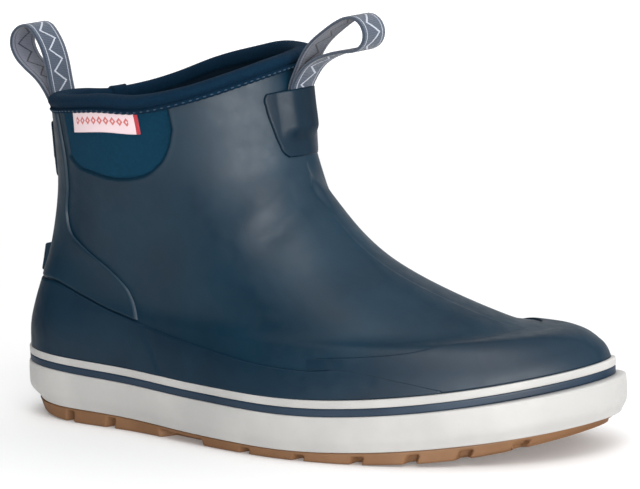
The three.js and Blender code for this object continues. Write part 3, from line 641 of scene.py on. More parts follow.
WEBBING_INSIDE = webbing_face("webbing_inside", srgb(94, 98, 112), srgb(32, 40, 53),
                              srgb(124, 128, 142), 0.6)
THREAD_FLECKS = {"noise": (2400, 2), "roughness": 0.8, "depth": 0.00006, "bump": 0.6, "sheen": 0.3}
WEBBING_EDGE = flecked("webbing_edge", srgb(40, 50, 64), srgb(66, 78, 94), **THREAD_FLECKS)
LABEL_CLOTH = woven_label("label_cloth")
THREAD = flecked("navy_thread", srgb(9, 36, 54), srgb(22, 56, 78), **THREAD_FLECKS)
FOAM = cell_foam("foam", srgb(60, 64, 70), srgb(40, 43, 48))
FOOTBED_KNIT = knit_neoprene("footbed_knit", srgb(30, 38, 48), srgb(58, 68, 80), 1.1, 0.3)
BOARD = flecked("board", srgb(150, 122, 84), srgb(204, 180, 140), (700, 6, 0.75), 0.9, 0.0001, 0.5)
STEEL = spring_steel("steel")
STIFFENER = flecked("stiffener", srgb(150, 142, 126), srgb(186, 180, 164), (900, 5, 0.7), 0.85,
                    0.00008, 0.5)

# ---------------------------------------------------------------- lines drawn on the upper

# Where each layer lies, measured outwards from the drawn surface
SHELL_OUT = -0.45
OVERLAY_OUT = 0.35
BACKSTAY_OUT = 0.8
PANEL_OUT = -1.0
SOCK_OUT = -5.0
SOCK_THICKNESS = 2.2
BINDING_DROP = 7

TURN = np.arange(0.0, 360.0, 0.75)      # angles of the rings


def looked_up(function):
    """The same function of the angle, worked out once for each degree."""
    degrees = np.arange(0.0, 361.0)
    values = function(degrees)
    return lambda angle: np.interp(np.asarray(angle) % 360, degrees, values)


def lateral(angle):
    turned = np.asarray(angle, float) % 360
    return np.where(turned > 180, turned, 360 - turned)


mudguard_line = curve([180, 205, 216, 230, 240, 248, 257, 266, 275, 288, 297, 304, 312],
                      [2.9, 2.95, 3, 2.68, 2.24, 1.97, 1.72, 1.5, 1.32, 1.2, 1.18, 0.8, 0.2])
bumper_line = curve([284, 292, 300, 312, 320, 333, 342, 360],
                    [1.66, 1.7, 1.76, 1.92, 2.18, 2.5, 2.66, 2.78])
panel_line = curve([231, 236, 247, 267, 282, 288, 291, 293],
                   [5.6, 5.42, 5.27, 5.18, 5.34, 5.54, 5.75, 6])
backstay_half = curve([2, 2.6, 3, 3.3, 3.6, 3.95, 4.2, 4.5, 5, 5.5, 6, 6.8],
                      [67, 67, 67, 66.5, 63.5, 56, 46, 42, 44.5, 46.5, 46, 44.5])
MUDGUARD_END = 314
BUMPER_END = 284
PANEL_BACK, PANEL_FRONT = 231, 293
SEAM = 0.03
OVERLAP = 0.12                      # the toe's overlay lies this much over the mudguard

layers_top = looked_up(lambda angle: below_rim(angle, 2.5))
under_binding = looked_up(lambda angle: below_rim(angle, BINDING_DROP - 1.5))

PER_DEGREE = 1.1                    # millimetres round the shaft for one degree
PER_LEVEL = 24.0                    # millimetres up the shaft for one level


def distance_to_line(x, y, line):
    """The distance from each point to a line of straight stretches."""
    best = np.full(np.shape(x), np.inf)
    for (x0, y0), (x1, y1) in zip(line[:-1], line[1:]):
        dx, dy = x1 - x0, y1 - y0
        t = np.clip(((x - x0) * dx + (y - y0) * dy) / (dx * dx + dy * dy), 0, 1)
        best = np.minimum(best, np.hypot(x - x0 - t * dx, y - y0 - t * dy))
    return best


def inside_panel(angle, level):
    """How far inside a side panel's edge a point is, in millimetres; below 0 outside."""
    turned = lateral(angle)
    foot = [(a, float(panel_line(a))) for a in np.arange(PANEL_BACK, PANEL_FRONT + 0.1, 2.0)]
    edge = [(PANEL_BACK, 7.5), *foot, (PANEL_FRONT, 7.5)]
    scaled = [(a * PER_DEGREE, b * PER_LEVEL) for a, b in edge]
    distance = distance_to_line(turned * PER_DEGREE, level * PER_LEVEL, scaled)
    over = level > panel_line(np.clip(turned, PANEL_BACK, PANEL_FRONT))
    within = over & (turned > PANEL_BACK) & (turned < PANEL_FRONT)
    return np.where(within, distance, -distance)


ANKLE_CREASES = (                   # each a line of (angle, level), its depth and its width
    (((359, 4.9), (341, 4.78), (329, 4.61), (312, 4.36), (300, 4.22)), 1.8, 4.0),
    (((2, 5.2), (18, 5.02), (34, 4.72), (48, 4.5)), 0.9, 4.6),
)
CREASE_FADES = (36, 58)             # the creases die out between these angles from the front


def creases(angle, level):
    """Soft folds across the front of the ankle, each a hollow with a swelling over it."""
    turned = (np.asarray(angle, float) + 180) % 360 - 180
    total = np.zeros(np.broadcast(turned, level).shape)
    for line, depth, width in ANKLE_CREASES:
        points = [(((a + 180) % 360 - 180) * PER_DEGREE, b * PER_LEVEL) for a, b in line]
        x, y = turned * PER_DEGREE, level * PER_LEVEL
        hollow = distance_to_line(x, y, points)
        swelling = distance_to_line(x, y - width * 1.5, points)
        total += depth * (0.75 * np.exp(-(swelling / width) ** 2) - np.exp(-(hollow / width) ** 2))
    return total * (1 - smoothstep(np.abs(turned), *CREASE_FADES))


HOLLOW = {"depth": 1.3, "edge": (-0.15, 0.55), "lip": 0.16, "lip_at": 0.9, "lip_width": 0.8}


def shell_relief(angle, level):
    """The shell sinks under the side panels, with a soft lip round them, and creases in front."""
    inside = inside_panel(angle, level)
    sunk = -HOLLOW["depth"] * smoothstep(inside, *HOLLOW["edge"])
    lip = HOLLOW["lip"] * np.exp(-((inside + HOLLOW["lip_at"]) / HOLLOW["lip_width"]) ** 2)
    return sunk + lip + creases(angle, level) + surface_relief(angle, level, 0.22)


def surface_relief(angle, level, depth=0.16):
    """The slow unevenness of a rubber surface on the upper."""
    return depth * ripple(angle * 1.3, level * 22)


# ---------------------------------------------------------------- sole

LUG = {"roof": 2.6, "depth": 5.0, "half": 2.3, "slant": 0.45, "ease": 0.8}
NOTCHES = (45, 72, 160, 190, 218, 242, 263, 283)
ARCH = {"back": (102.5, 105.5), "front": (129.5, 132.5), "depth": 7.0}
SIPE = {"pitch": 7.2, "half": 0.55, "ease": 0.25, "depth": 1.7, "wave": 1.7, "wave_pitch": 13.0,
        "edge": 9.0, "rim": 6.0, "rim_width": 0.9}


def gap_between_lugs(x, height):
    """1 in a notch of the outsole's edge, 0 on a lug; the notches lean back as they go down."""
    leaning = x + (gum_line(x) - height) * LUG["slant"]
    notch = sum(1 - smoothstep(np.abs(leaning - at), LUG["half"] - LUG["ease"], LUG["half"] + LUG["ease"])
                for at in NOTCHES)
    low = smoothstep(gum_line(x) - height, LUG["roof"] - 0.9, LUG["roof"])
    return np.clip(notch, 0, 1) * low


def in_arch(x, height):
    return between(x, ARCH["back"], ARCH["front"]) * smoothstep(
        gum_line(x) - height, LUG["roof"] - 1.0, LUG["roof"])


def edge_inset(x, height):
    return LUG["depth"] * gap_between_lugs(x, height) + ARCH["depth"] * in_arch(x, height)


OUTSOLE = {"top": (1.6, 1.0, 3.0), "foot": (3.0, 2.5, 3.5), "lid": (9.0, 4.0, 4.0),
           "clear_of_foxing": 0.15, "rounding": 0.9}
EDGE_SHARES = (1, 0.86, 0.7, 0.55, 0.42, 0.3, 0.2, 0.12, 0.05, 0.0)      # down the outsole's edge


def outsole():
    """The outsole's lugged edge, its rounded foot, and a tread of wavy sipes inside a rim."""
    angles = np.arange(0.0, 360.0, 0.3)
    columns = []
    for share in EDGE_SHARES:
        base = wall(angles, *OUTSOLE["top"]) * share + wall(angles, *OUTSOLE["foot"]) * (1 - share)
        foot = OUTSOLE["rounding"] * (1 - rounded(np.full(angles.shape, share), 0.2))
        x = along_sole(angles)
        low, high = tread_height(x), gum_line(x) - OUTSOLE["clear_of_foxing"]
        z = low + (high - low) * share
        columns.append(plan(angles, base + foot + edge_inset(x, z), z))
    middle = middle_line(angles, 0.46, tread_height)
    edge = columns[-1]
    for share in np.linspace(0.02, 1.0, 90):
        points = edge * (1 - share) + middle * share
        x, y = points[:, 0], points[:, 1]
        inward = np.linalg.norm((edge - points)[:, :2], axis=1)
        wave = SIPE["wave"] * np.abs(((y / SIPE["wave_pitch"]) % 1) * 4 - 2)
        cut = np.abs(((x + wave) / SIPE["pitch"]) % 1 - 0.5) * SIPE["pitch"]
        sides = SIPE["half"] - SIPE["ease"], SIPE["half"] + SIPE["ease"]
        depth = SIPE["depth"] * (1 - smoothstep(cut, *sides))
        depth = depth * smoothstep(inward, SIPE["edge"] - 1, SIPE["edge"])
        rim = np.exp(-((inward - SIPE["rim"]) / SIPE["rim_width"]) ** 2)
        points[:, 2] = tread_height(x) + np.maximum(depth, SIPE["depth"] * rim)
        columns.append(points)
    grid = np.stack(columns, 1)[:, ::-1]
    top = plan(angles, wall(angles, *OUTSOLE["lid"]), lambda x: gum_line(x) - OUTSOLE["clear_of_foxing"])
    grid = np.concatenate([grid, top[:, None]], 1)
    piece = capped_ring("gum_outsole", grid, GUM)
    return ride(piece, "boot", "gum", "outsole")


TAPES_INSIDE = 4.3                  # how far inside the sole's outline the tapes' backs lie
FOXING = {"below_top": 7.0, "foot": (1.1, 1.0, 4.2), "bulge": 0.35, "edge": 0.8, "radius": 0.7,
          "toe": (255, 296), "toe_swell": 1.3, "lap": ((96, 96.5), (101, 101.5)), "lap_rise": 0.55,
          "uneven": 0.12}


def foxing_sidewall():
    """The broad white tape: rounded lower and upper edges, and its lapped end on the medial side."""
    angles = np.arange(0.0, 360.0, 0.5)
    x = along_sole(angles)
    low, high = gum_line(x), foxing_top(x) - FOXING["below_top"]
    shares = ends_spacing(26)
    lap = between(angles, *FOXING["lap"])
    rows = []
    for share in shares:
        z = low + (high - low) * share
        tucked = (1 - smoothstep(share, 0, 0.45)) ** 1.5
        inset = wall(angles, *FOXING["foot"]) * tucked - FOXING["toe_swell"] * smoothstep(x, *FOXING["toe"])
        up = (high - low) * share
        edges = rounded(np.minimum(up, (high - low) - up), FOXING["radius"])
        swell = FOXING["bulge"] * np.sin(np.pi * share) - FOXING["edge"] * (1 - edges)
        swell = swell + FOXING["lap_rise"] * lap
        swell = swell + FOXING["uneven"] * ripple(x, z * 3)
        rows.append(plan(angles, inset - swell, z))
    outer = np.stack(rows, 1)
    inner = np.stack([plan(angles, wall(angles, TAPES_INSIDE, 3, 1.5 * (1 - share)),
                           low + (high - low) * share) for share in shares], 1)
    piece = solid("white_foxing_tape", outer, inner, WHITE_TAPE, ring=True)
    return ride(piece, "boot", "white_rubber", "foxing_sidewall")


STRIPE = {"bulge": 0.45, "radius": 0.6, "uneven": 0.06}


def stripe(name, drop, height, outside, material, slot, node):
    """A tape round the top of the foxing, with rounded edges. drop is from the foxing's top edge."""
    angles = np.arange(0.0, 360.0, 0.5)
    x = along_sole(angles)
    shares = ends_spacing(13)
    outer, inner = [], []
    for share in shares:
        z = foxing_top(x) - drop + height * share
        edges = rounded(np.minimum(share, 1 - share) * height, STRIPE["radius"])
        out = STRIPE["bulge"] * edges + STRIPE["uneven"] * ripple(x, z * 3, 2.0)
        outer.append(plan(angles, wall(angles, outside, 2.5) - out, z))
        inner.append(plan(angles, wall(angles, TAPES_INSIDE, 3), z))
    piece = solid(name, np.stack(outer, 1), np.stack(inner, 1), material, ring=True)
    return ride(piece, "boot", slot, node)


# ---------------------------------------------------------------- upper


SHELL_THICKNESS = 1.5
SHELL_FOOT = 3.3                    # how far inside the sole's outline the shell's foot lies
BEHIND_FOXING = 5                   # how far the shell reaches down behind the foxing


def upper_shell():
    """The rubber shell, one moulded skin from behind the foxing up to the collar."""
    top = layers_top(TURN)
    levels = rows_between(np.zeros(TURN.shape), top, np.linspace(0, 1, 220))
    angles = np.broadcast_to(TURN[:, None], levels.shape)
    relief = shell_relief(angles, levels)
    outer = skin(angles, levels, SHELL_OUT + relief)
    inner = skin(angles, levels, SHELL_OUT + relief - SHELL_THICKNESS)
    foot, behind = (plan(TURN, wall(TURN, inset, 3), lambda x: foxing_top(x) - BEHIND_FOXING)
                    for inset in (SHELL_FOOT, SHELL_FOOT + SHELL_THICKNESS))
    outer = np.concatenate([foot[:, None], outer], 1)
    inner = np.concatenate([behind[:, None], inner], 1)
    piece = solid("rubber_shell", outer, inner, NAVY, ring=True)
    return ride(piece, "boot", "navy_rubber", "upper_shell")


PATCH = {"sunk": 0.35, "thickness": 0.5}      # how far a patch's edges sink into the shell


def raised(name, angles, levels, out, free_edges, radius, material, relief=surface_relief, faded=None):
    """A patch that stands on the shell, with rounded free edges.

    free_edges says which of its edges show: (first column, last column, first row, last row). faded
    gives, for each angle, how far its edges have run out into the shell, from 0 to 1.
    """
    flat = drawn(angles, levels)
    edges = [d for d, free in zip((*to_ends(flat, 0), *to_ends(flat, 1)), free_edges) if free]
    edge = rounded(np.minimum.reduce(edges), radius)
    if faded is not None:
        edge = edge + (1 - edge) * faded(angles)
    root = SHELL_OUT - PATCH["sunk"]
    outer = skin(angles, levels, root + (out - root) * edge + relief(angles, levels) * edge)
    inner = skin(angles, levels, np.full(levels.shape, root - PATCH["thickness"]))
    return solid(name, outer, inner, material)


def rows_between(low, high, shares):
    return low[:, None] + (high - low)[:, None] * shares[None, :]


def towards_top(count):
    """Shares from 0 to 1 that lie closer together towards 1."""
    return 1 - (1 - np.linspace(0, 1, count)) ** 1.8


HEEL_STEP = {"angle": 247.5, "level": 2.0, "lean": 2.9, "height": 0.3, "soft": 0.8,
             "groove": 0.18, "groove_at": 1.0, "groove_half": 0.9}


def telegraph(angle, level):
    """The heel panel's edge shows as a low step through the mudguard that covers it."""
    turned = lateral(angle)
    line = HEEL_STEP["angle"] + (HEEL_STEP["level"] - level) * HEEL_STEP["lean"]
    soft = HEEL_STEP["soft"]
    step = HEEL_STEP["height"] * (1 - smoothstep(turned, line - soft, line + soft))
    beside = (turned - line - HEEL_STEP["groove_at"]) / HEEL_STEP["groove_half"]
    groove = -HEEL_STEP["groove"] * np.exp(-beside ** 2)
    return step + groove + surface_relief(angle, level)


def under_bumper(angle):
    """The mudguard's front end runs in under the toe's overlay and no longer shows as a step."""
    return smoothstep(lateral(angle), 289, 298)


def mudguard():
    angles = np.linspace(360 - MUDGUARD_END, MUDGUARD_END, 441)
    top = mudguard_line(lateral(angles)) + 2 * SEAM * under_bumper(angles)
    levels = rows_between(np.zeros(angles.shape), top, towards_top(52))
    grid = np.broadcast_to(angles[:, None], levels.shape)
    out = OVERLAY_OUT + (OVERLAP - 0.01) * under_bumper(grid)
    piece = raised("heel_and_side_mudguard", grid, levels, out, (False, False, False, True), 1.3,
                   NAVY_OVERLAY, telegraph, faded=under_bumper)
    return ride(piece, "boot", "navy_rubber", "mudguard")


def soft_at_ball(angle):
    """The overlay's edge is soft along the ball of the foot."""
    return 0.5 * between(lateral(angle), (298, 312), (330, 342))


def toe_bumper():
    """The toe's overlay, with a tongue on each side that thins out over the mudguard's top edge."""
    angles = np.linspace(BUMPER_END - 360, 360 - BUMPER_END, 301)
    turned = lateral(angles)
    foot = np.where(turned > MUDGUARD_END, 0.0,
                    mudguard_line(np.minimum(turned, MUDGUARD_END)) + SEAM)
    levels = rows_between(foot, bumper_line(turned), towards_top(52))
    grid = np.broadcast_to(angles[:, None], levels.shape)
    tip, full = SHELL_OUT - 0.3, OVERLAY_OUT + OVERLAP
    out = tip + (full - tip) * smoothstep(turned, BUMPER_END, BUMPER_END + 14)[:, None]
    piece = raised("toe_overlay", grid, levels, out, (True, True, False, True), 1.3, NAVY_OVERLAY,
                   faded=soft_at_ball)
    return ride(piece, "boot", "navy_rubber", "toe_bumper")


def backstay():
    """The strip down the back, flaring over the heel to the mudguard."""
    across = np.linspace(-1, 1, 221)[:, None]
    up = np.concatenate([np.linspace(0, 0.3, 30, endpoint=False), np.linspace(0.3, 1, 110)])[None, :]
    levels = np.full((across.size, up.size), 5.0)
    for _ in range(12):
        angles = 180 + across * backstay_half(np.minimum(levels, 6.8))
        foot = mudguard_line(lateral(angles)) + SEAM
        levels = foot + (under_binding(angles) - foot) * up
    piece = raised("back_strip_and_heel_panel", angles, levels, BACKSTAY_OUT, (True, True, True, False),
                   0.9, NAVY)
    return ride(piece, "boot", "navy_rubber", "backstay")


KICK = {"low": 67.2, "high": 80.8, "half": 12.6, "back_low": 9.9, "back_high": 12.4, "radius": 1.5,
        "ribs": 4.5, "rib": 0.35, "sunk": 0.4, "least": 0.8, "thickness": 0.6}


def kick_tab():
    """The lug on the heel, with a ribbed flat back and rounded edges."""
    across = 180 + np.linspace(-1, 1, 60)[:, None] * KICK["half"]
    z = KICK["low"] + (KICK["high"] - KICK["low"]) * ends_spacing(60, 0.2)[None, :]
    angles, z = np.broadcast_arrays(across, z)
    levels = level_at(angles, z)
    base = skin(angles, levels, np.full(angles.shape, BACKSTAY_OUT - KICK["sunk"]))
    share = (z - KICK["low"]) / (KICK["high"] - KICK["low"])
    flat = KICK["back_low"] + (KICK["back_high"] - KICK["back_low"]) * share
    edge = rounded(from_edges(base), KICK["radius"])
    ribs = KICK["rib"] * smoothstep(np.abs((share * KICK["ribs"]) % 1 - 0.5), 0.3, 0.42) * (edge > 0.99)
    back = base[..., 0]
    outer = base.copy()
    outer[..., 0] = back + (np.minimum(flat + ribs, back - KICK["least"]) - back) * edge
    inner = base + np.array([KICK["thickness"], 0, 0])
    piece = solid("kick_off_lug", outer, inner, NAVY_OVERLAY)
    return ride(piece, "boot", "navy_rubber", "kick_tab")


PANEL = {"edge": 0.3, "tucked": 0.55, "tuck": (0.1, 1.5), "swell": 0.45, "uneven": 0.12, "thickness": 1.2}


def side_panel(side):
    """A neoprene panel that lies in the shell's hollow, tucked under at its edges."""
    angles = np.linspace(PANEL_BACK + PANEL["edge"], PANEL_FRONT - PANEL["edge"], 141)
    levels = rows_between(panel_line(angles) + 0.015, under_binding(angles), ends_spacing(90, 0.15))
    turned = np.broadcast_to(angles[:, None], levels.shape)
    tuck = smoothstep(inside_panel(turned, levels), *PANEL["tuck"])
    across = np.clip((turned - PANEL_BACK) / (PANEL_FRONT - PANEL_BACK), 0, 1)
    swell = PANEL["swell"] * np.sin(across * np.pi)
    uneven = PANEL["uneven"] * ripple(turned * 2, levels * 40, 1.0)
    out = PANEL_OUT - PANEL["tucked"] * (1 - tuck) + swell * tuck + uneven
    if side == "medial":
        turned, levels, out = (360 - turned)[::-1], levels[::-1], out[::-1]
    outer = skin(turned, levels, out)
    inner = skin(turned, levels, out - PANEL["thickness"])
    piece = solid(f"stretch_panel_{side}", outer, inner, PANEL_KNIT, cloth=cloth_over(outer))
    return ride(piece, "boot", "navy_neoprene", f"side_panel_{side}")


SOCK = {"deeper": 1.7, "ankle": (3.3, 4.3), "wrinkle": 0.35,
        "foot_inside": (11.0, 15.4), "foot_outside": (8.2, 13.8)}      # insets and heights


def sock():
    """The neoprene lining, closed under the foot."""
    shares = np.linspace(0, 1, 90)
    top = below_rim(TURN, 3.0)
    levels = rows_between(np.zeros(TURN.shape), top, shares)
    angles = np.broadcast_to(TURN[:, None], levels.shape)
    wrinkle = SOCK["wrinkle"] * ripple(angles * 2.4, levels * 30, 3.0)
    deeper = SOCK["deeper"] * (1 - smoothstep(levels, *SOCK["ankle"]))
    inner = skin(angles, levels, SOCK_OUT - SOCK_THICKNESS - deeper + wrinkle)
    outer = skin(angles, levels, SOCK_OUT - deeper)
    inside, outside = (plan(TURN, wall(TURN, inset, 3), lambda x, rise=rise: gum_line(x) + rise)
                       for inset, rise in (SOCK["foot_inside"], SOCK["foot_outside"]))
    inner = np.concatenate([inside[:, None], inner], 1)
    outer = np.concatenate([outside[:, None], outer], 1)
    piece = solid("neoprene_sock", outer, inner, SOCK_KNIT, ring=True, cloth=cloth_over(inner), bag=True)
    return ride(piece, "boot", "sock_neoprene", "sock_lining")


FOOTBED_INSET = 11.6


def footbed_layer(name, low, high, bevel, material, slot, node):
    """One layer of the loose footbed: an outline with rounded edges, filled in to its middle line."""
    angles = np.arange(0.0, 360.0, 1.0)
    rows = []
    for rise, extra in ((low, bevel), (low + bevel * 0.4, bevel * 0.3), (low + bevel, 0),
                        (high - bevel, 0), (high - bevel * 0.4, bevel * 0.3), (high, bevel)):
        rows.append(plan(angles, wall(angles, FOOTBED_INSET + extra, 3), lambda x, r=rise: gum_line(x) + r))
    edge = rows[-1]
    middle = middle_line(angles, 0.42, lambda x: gum_line(x) + high)
    for share in np.linspace(0.05, 1, 24):
        points = edge * (1 - share) + middle * share
        points[:, 2] = gum_line(points[:, 0]) + high
        rows.append(points)
    grid = np.stack(rows, 1)
    piece = capped_ring(name, grid, material, uv=grid.reshape(-1, 3)[:, :2])
    return ride(piece, "footbed", slot, node)


# ---------------------------------------------------------------- binding, stitches and label

# The binding's section as (how far down from the rim, how far out): up the outside, over, down
BINDING_SECTION = (
    (7.1, 0.1), (7.0, 0.85), (6.4, 1.3), (5.7, 1.2), (5.15, 0.45), (4.8, 0.2), (4.35, 0.8), (3.4, 1.55),
    (2.2, 1.85), (1.0, 1.45), (0.15, 0.4), (-0.35, -1.2), (-0.45, -3.0), (-0.2, -4.8), (0.7, -6.5),
    (2.2, -7.6), (4.0, -8.0), (5.8, -7.9), (6.9, -7.4), (7.1, -6.6), (4.6, -5.6), (2.6, -5.0),
    (2.2, -3.0), (2.4, -1.2), (4.8, -0.8),
)
LAP = {"from": (145, 146), "to": (154, 155), "rise": 0.9, "centre": -3.0}      # the ends, in degrees
ROLL = {"foot": (3.5, 4.6), "uneven": 0.3, "sway": 0.25}
HEM = {"from": (4.9, 5.6), "out": 0.28, "drop": 0.22}                    # how the stitches pull the hem in
CLOTH_ROW = 10                      # the row of the section along which the knit is measured
STITCH = {"pitch": 3.1, "length": 2.1, "radius": 0.3, "drop": 6.25, "out": 1.2,
          "arch": 1.3, "sunk": 0.7, "ends": 0.55, "swell": 0.45}      # the last four in radii


def smooth_section(points, count):
    """A closed smooth line through the section's points."""
    points = np.array(points, float)
    total = len(points)
    at = np.arange(count) * total / count
    i, t = np.floor(at).astype(int), (at % 1)[:, None]
    p0, p1, p2, p3 = (points[(i + k) % total] for k in (-1, 0, 1, 2))
    return cubic(t, p1, p2, (p2 - p0) / 2, (p3 - p1) / 2)


def under_rim(angle, drop, out):
    """A point a little below the collar's rim, or above it where the drop is under 0."""
    points = skin(angle, below_rim(angle, np.maximum(drop, 0)), out)
    points[..., 2] += np.maximum(-drop, 0)
    return points


def collar_binding():
    """A rolled neoprene edge: a fat roll over a stitched hem, its two ends lapped at the rear."""
    angles = np.arange(0.0, 360.0, 0.5)
    section = smooth_section(BINDING_SECTION, 56)
    grid = np.broadcast_to(angles[:, None], (angles.size, len(section)))
    drop = np.broadcast_to(section[:, 0], grid.shape).copy()
    out = np.broadcast_to(section[:, 1], grid.shape).copy()
    outside = smoothstep(out, -2.0, 0.0)
    pull = np.abs(np.sin(np.radians(grid) * stitch_count() / 2))
    hem = outside * smoothstep(drop, *HEM["from"])
    out += hem * HEM["out"] * (pull - 0.5)
    drop += hem * HEM["drop"] * (pull - 0.5)
    roll = outside * (1 - smoothstep(drop, *ROLL["foot"]))
    out += roll * ROLL["uneven"] * ripple(grid * 2.2, drop * 3, 0.7)
    drop += ROLL["sway"] * ripple(grid * 1.7, 0 * drop, 2.2) * (1 - smoothstep(drop, 2, 6))
    lapped = between(grid, LAP["from"], LAP["to"])
    out += lapped * LAP["rise"] * np.clip((out - LAP["centre"]) / 4, -1, 1)
    drop -= lapped * LAP["rise"] * (1 - smoothstep(drop, 1, 5))
    sections = under_rim(grid, drop, out)
    cloth = cloth_over(sections)
    cloth[..., 0] = cloth[:, CLOTH_ROW:CLOTH_ROW + 1, 0]
    piece = tube_ring("rolled_collar_binding", sections, BINDING_KNIT, cloth.reshape(-1, 2))
    return ride(piece, "boot", "navy_neoprene", "collar_binding")


def stitch_count():
    """How many stitches go round the hem."""
    loop = under_rim(np.arange(0.0, 361.0), np.full(361, STITCH["drop"]), np.full(361, 1.0))
    return int(np.linalg.norm(np.diff(loop, axis=0), axis=1).sum() / STITCH["pitch"])


def capsules(name, starts, ends, outward, radius, material):
    """Many short rounded stitches in one mesh, each sunk at its ends."""
    points, faces = [], []
    sides, steps = 6, 6
    for start, end, normal in zip(starts, ends, outward):
        axis = unit(end - start)
        side = np.cross(axis, normal)
        base = len(points)
        for t in np.linspace(0, 1, steps):
            arch = np.sin(np.pi * t)
            middle = start + (end - start) * t + normal * radius * (STITCH["arch"] * arch - STITCH["sunk"])
            thick = radius * (STITCH["ends"] + STITCH["swell"] * arch)
            for k in range(sides):
                turn = 2 * np.pi * k / sides
                points.append(middle + (np.cos(turn) * normal + np.sin(turn) * side) * thick)
        for i in range(steps - 1):
            for k in range(sides):
                a, b = base + i * sides + k, base + i * sides + (k + 1) % sides
                faces.append([a, b, b + sides, a + sides])
        faces.append([base + k for k in range(sides)][::-1])
        faces.append([base + (steps - 1) * sides + k for k in range(sides)])
    return mesh_object(name, np.array(points), faces, material)


def binding_stitches():
    """One row of stitches along the binding's hem."""
    count = stitch_count()
    angles = (np.arange(count) + 0.5) * 360 / count
    drops, outs = np.full(count, STITCH["drop"]), np.full(count, STITCH["out"])
    here = under_rim(angles, drops, outs)
    ahead = under_rim(angles + 0.5, drops, outs)
    above = under_rim(angles, drops - 0.5, outs)
    direction = unit(ahead - here)
    normal = unit(np.cross(direction, above - here))
    half = direction * STITCH["length"] / 2
    piece = capsules("binding_stitches", here - half, here + half, normal, STITCH["radius"], THREAD)
    return ride(piece, "boot", "navy_neoprene")


def label():
    """A cloth label sewn in under the binding, standing off a little at its foot."""
    shares = np.linspace(0, 1, 60)
    up = np.linspace(0, 1, 20)
    height = LABEL["height"] + LABEL["sewn_in"]
    drop = BINDING_DROP - LABEL["sewn_in"] + height * (1 - up)
    slant = LABEL["slant"] * (1 - up)[None, :] * (1 - shares)[:, None]
    angles = LABEL["from"] + (LABEL["to"] - LABEL["from"]) * shares[:, None] - slant
    drops = np.broadcast_to(drop[None, :], angles.shape)
    wavy = LABEL["wave"] * np.sin(shares * 7)[:, None] * (1 - up)[None, :]
    lifted = LABEL["lift"] * (1 - up)[None, :] ** 2 + wavy
    out = PANEL_OUT + LABEL["out"] + lifted + 0 * angles
    outer = under_rim(angles, drops, out)
    inner = under_rim(angles, drops, out - LABEL["thickness"])
    cloth = np.stack(np.broadcast_arrays(LABEL["length"] * shares[:, None], height * up[None, :]), -1)
    piece = solid("woven_label", outer, inner, LABEL_CLOTH, cloth=cloth)
    return ride(piece, "boot", "label_cloth", "label")


# ---------------------------------------------------------------- pull loops and shields

# Each loop's middle line, seen from the lateral side: from its base round to its base again
FRONT_LINE = [(157.9, 155.9), (159.8, 161.2), (163.2, 169.1), (167.9, 174.6), (174.9, 179.6),
              (181.7, 183.6), (187.3, 185.6), (191.6, 185.2), (194.9, 182.5), (196.4, 178), (194.8, 173.6),
              (190.6, 171.2), (183.9, 170.8), (175.5, 169.2), (169.4, 167.2), (164.2, 164.2), (160.4, 160),
              (157.9, 155.9)]
REAR_LINE = [(20.9, 147), (19.2, 150.5), (16.4, 155), (12, 159.6), (5.4, 164.8), (0.4, 169.9), (-2, 176.2),
             (-0.9, 180.8), (2.4, 183.8), (6.6, 184.9), (9.8, 183.9), (12.8, 180.7), (16.2, 175.4),
             (18.5, 169.4), (19.9, 163), (20.6, 157.5), (20.9, 152), (20.9, 147)]
PULLS = {
    "front": {"line": FRONT_LINE, "y": 3, "middle": 1.8, "lies": SHELL_OUT + 0.25, "tail": (5.78, 6.44),
              "half": curve([5.4, 5.46, 5.6, 5.85, 6.2, 6.36, 6.42], [14.5, 17.5, 20, 23, 25.2, 25.3, 24]),
              "levels": (5.4, 6.43), "rise": (5.6, 5.86), "outwards": 1},
    "rear": {"line": REAR_LINE, "y": -2, "middle": 184.3, "lies": BACKSTAY_OUT + 0.1, "tail": (5.5, 6.6),
             "half": curve([5.13, 5.2, 5.35, 5.7, 6.1, 6.24, 6.3], [14.5, 17.5, 20, 22.5, 24, 24, 22.5]),
             "levels": (5.13, 6.31), "rise": (5.28, 5.56), "outwards": -1},
}
TAIL_HALF = 10.8                    # half the webbing's width, in degrees round the collar
WEBBING = 1.3                       # its thickness
RIB = {"height": 0.05, "pitch": 1.8, "from_edge": 0.4}
SELVEDGE_EDGE = {"radius": 0.7, "edge": 0.45, "swell": 0.55}
LEANS, HUGS = 0.16, 0.12            # the shares of the loop that lean in to its base and hug the collar
TWIST = 0.5                         # how much higher the strip's medial edge runs at the top
ROWS_ALONG, ROWS_ACROSS, TAIL_ROWS = 150, 25, 12
HUGGING = 92.0                      # the diameter that the webbing bends to where it lies on the collar


def smooth_line(points, count):
    """Evenly spaced points on a smooth line through a few."""
    points = np.array(points, float)
    along = np.concatenate([[0], np.cumsum(np.linalg.norm(np.diff(points, axis=0), axis=1))])
    fine = np.linspace(0, along[-1], 2000)
    line = np.stack([curve(along, points[:, k])(fine) for k in range(points.shape[1])], 1)
    run = np.concatenate([[0], np.cumsum(np.linalg.norm(np.diff(line, axis=0), axis=1))])
    even = np.linspace(0, run[-1], count)
    return np.stack([np.interp(even, run, line[:, k]) for k in range(line.shape[1])], 1)


